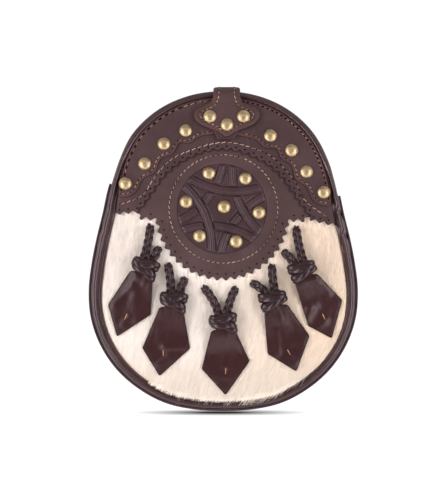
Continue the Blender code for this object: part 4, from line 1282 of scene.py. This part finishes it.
def strips(tracks, ups, size, taper=None):
    """Points and faces of leather strips along tracks, which taper or, without a taper, are closed."""
    points, faces = [], []
    for track in tracks:
        line, way, shares = track, ups, taper
        if not taper:
            line, way, shares = ([*v[-1:], *v, *v[:1]] for v in (track, ups, [1.0] * len(track)))
        widths, depths = ([half * s for s in shares] for half in size)
        rings = tube(line, widths, depths, STRIP_SIDES, way)
        faces += moved(loft_faces(len(track), STRIP_SIDES, not taper), len(points))
        points += rings if taper else rings[STRIP_SIDES:-STRIP_SIDES]
    return points, faces


def make_thong(name, start, along, end, phase):
    """A plaited thong from the knot to its hole in the hide."""
    length = (end - start).length
    control = start - along * (0.4 * length)
    path, ups = [], [Vector((0, 0, 1))] * (THONG_STEPS + 1)
    for i in range(THONG_STEPS + 1):
        t = i / THONG_STEPS
        p = start * (1 - t) ** 2 + control * (2 * t * (1 - t)) + end * t**2
        height = GAP + THONG + (KITE_LIFT - GAP - THONG) * (1 - smooth(2 * t))
        path.append(on_front(p.x, p.y, height - THONG_SINKS * smooth((t - 0.86) / 0.14)))
    tracks = plait(path, ups, PLAIT_SWAY, length / PLAIT_PERIOD, phase)
    taper = [1.0 - 0.5 * smooth((i / THONG_STEPS - 0.88) / 0.12) for i in range(THONG_STEPS + 1)]
    mesh_piece(f"{name}_braid", *strips(tracks, ups, STRIP, taper), "strand", "braided_leather", [name])


def make_knot(name, knot, along, across, mirror):
    """A knot of two plaited turns round the kite's neck."""
    middle = on_front(*knot, KITE_LIFT)
    run, side, up = Vector((*along, 0)), Vector((*across, 0)), Vector((0, 0, 1))
    room = KNOT_STRIP[1] + PLAIT_BOB
    wide, deep = KNOT_HALF_WIDTH - room, KNOT_HALF_DEPTH - room
    points, faces = [], []
    for offset, tilt, out, phase in KNOT_TURNS:
        slope = math.tan(math.radians(tilt)) * mirror
        path, ups = [], []
        for i in range(KNOT_STEPS):
            a = 2 * math.pi * i / KNOT_STEPS
            ups.append((side * (math.cos(a) * deep) + up * (math.sin(a) * wide)).normalized())
            p = middle + side * (wide * math.cos(a)) + up * (deep * math.sin(a) + out)
            path.append(p + run * (offset + slope * wide * math.cos(a)))
        tracks = plait(path, ups, KNOT_FULLER * PLAIT_SWAY, 1, phase, closed=True)
        more, new_faces = strips(tracks, ups, KNOT_STRIP)
        faces += moved(new_faces, len(points))
        points += more
    mesh_piece(f"{name}_knot_braid", points, faces, "strand", "braided_leather", [f"{name}_knot"])


def make_tassels():
    for i, places in enumerate(TASSELS):
        name = f"tassel_{i + 1}"
        knot, left, tip, right, long_end, short_end = (Vector(p) for p in places)
        along = (tip - knot).normalized()
        across = Vector((-along.y, along.x))
        marks = (KITE_FOLDS[i], KITE_STITCHES[i])
        make_kite(name, knot, along, across, (left, tip, right), 1.7 * i + 0.6, *marks)
        make_knot(name, knot, along, across, -1 if i in MIRRORED_KNOTS else 1)
        for end, other, which in ((long_end, short_end, "long"), (short_end, long_end, "short")):
            side = 1 if (end - other).dot(across) > 0 else -1
            start = knot - along * (KNOT_HALF_LENGTH - 1.2) + across * (side * THONG_APART)
            make_thong(f"{name}_{which}_thong", start, along, end, 0.8 * i + side)


# ---------------------------------------------------------------- stage

CAMERA_HEIGHT, CAMERA_ABOVE_Z, CLIP_END = 1500.0, 43.0, 20.0
MM_PER_PIXEL, FRAME_LONG_SIDE, SENSOR = 0.664, 503, 36.0
VIEW_CENTRE = (-1.2, -2.2)
# SHADOW_GREY, SHADOW_PLACE and SHADOW_SIZE make a painted shadow on the floor: its colour, its middle and its
# half sizes in millimetres
FLOOR_HALF, FLOOR_Z, FLOOR_GREY, SHADOW_GREY = 3, -0.0002, (0.12, 0.12, 0.12), (0.03, 0.03, 0.03)
FLOOR_GLOW, WORLD_LIGHT = 0.95, 0.1
SHADOW_PLACE, SHADOW_SIZE = (-1.5, -112.2), (64.0, 2.4)
SOFTBOXES = (  # name, place in metres, size in metres, watts
    ("left_softbox", (-1.35, -0.1, 1.15), (2.2, 0.7), 30.0),
    ("right_softbox", (1.35, -0.1, 1.15), (2.2, 0.7), 28.5),
    ("low_softbox", (0.0, -1.5, 1.3), (2.4, 0.7), 14.5),
    ("high_softbox", (0.0, 1.5, 1.5), (2.4, 0.7), 7.0),
    ("ceiling_softbox", (0.0, 0.0, 2.0), (1.2, 1.2), 2.0),
    ("left_strip", (-1.3, 0.0, 0.45), (2.6, 0.3), 5.0),
    ("right_strip", (1.3, 0.0, 0.45), (2.6, 0.3), 2.5),
)


def make_floor():
    """A white sweep, with a painted shadow under the pouch: the soft dark line that the photograph has there.
    """
    mesh = bpy.data.meshes.new("floor")
    corners = [(x * FLOOR_HALF, y * FLOOR_HALF, 0) for x, y in ((-1, -1), (1, -1), (1, 1), (-1, 1))]
    mesh.from_pydata(corners, [], [(0, 1, 2, 3)])
    white = Shader("white_floor", FLOOR_GREY, 0.9, Specular_IOR_Level=0.0, Emission_Color=(1, 1, 1, 1))
    place = [-at / size for at, size in zip(SHADOW_PLACE, SHADOW_SIZE)]
    scale = [1 / (size * MM) for size in SHADOW_SIZE]
    mapping = {"Vector": white.object, "Location": (*place, 0), "Scale": (*scale, 1.0)}
    ellipse = white.node("Mapping", mapping).outputs["Vector"]
    dark = white.node("TexGradient", {"Vector": ellipse}, gradient_type="SPHERICAL").outputs["Fac"]
    # painted shadow: the floor's colour and glow fall to dark grey inside the ellipse
    white.feed("Base Color", white.mix(dark, 0.0, 0.8, FLOOR_GREY, SHADOW_GREY))
    white.feed("Emission Strength", white.ramp(dark, FLOOR_GLOW, 0.0, 0.0, 0.8))
    mesh.materials.append(white.material)
    ground = new_object("floor", mesh, (0, 0, FLOOR_Z))


def make_stage():
    scene = bpy.context.scene
    scene.view_settings.view_transform = "Standard"
    camera = bpy.data.cameras.new("camera")
    camera.sensor_width = SENSOR
    camera.lens = CAMERA_HEIGHT / MM_PER_PIXEL / FRAME_LONG_SIDE * SENSOR
    camera.clip_end = CLIP_END
    place = Vector((*VIEW_CENTRE, CAMERA_HEIGHT + CAMERA_ABOVE_Z)) * MM
    scene.camera = new_object("camera", camera, place)
    make_floor()
    world = bpy.data.worlds.new("studio")
    world.use_nodes = True
    background = world.node_tree.nodes["Background"].inputs
    background["Color"].default_value = (1, 1, 1, 1)
    background["Strength"].default_value = WORLD_LIGHT
    scene.world = world
    for name, place, size, power in SOFTBOXES:
        light = bpy.data.lights.new(name, "AREA")
        light.shape = "RECTANGLE"
        light.size, light.size_y = size
        light.energy = power
        lamp = new_object(name, light, place)
        lamp.rotation_euler = (-Vector(place)).to_track_quat("-Z", "Y").to_euler()


def main():
    make_stage()
    make_back()
    make_strap_loop()
    make_gusset()
    make_front_roll()
    make_hide()
    facing, band = make_facings()
    make_medallion()
    make_tab()
    make_studs()
    make_tassels()
    make_hair(facing, band)


main()
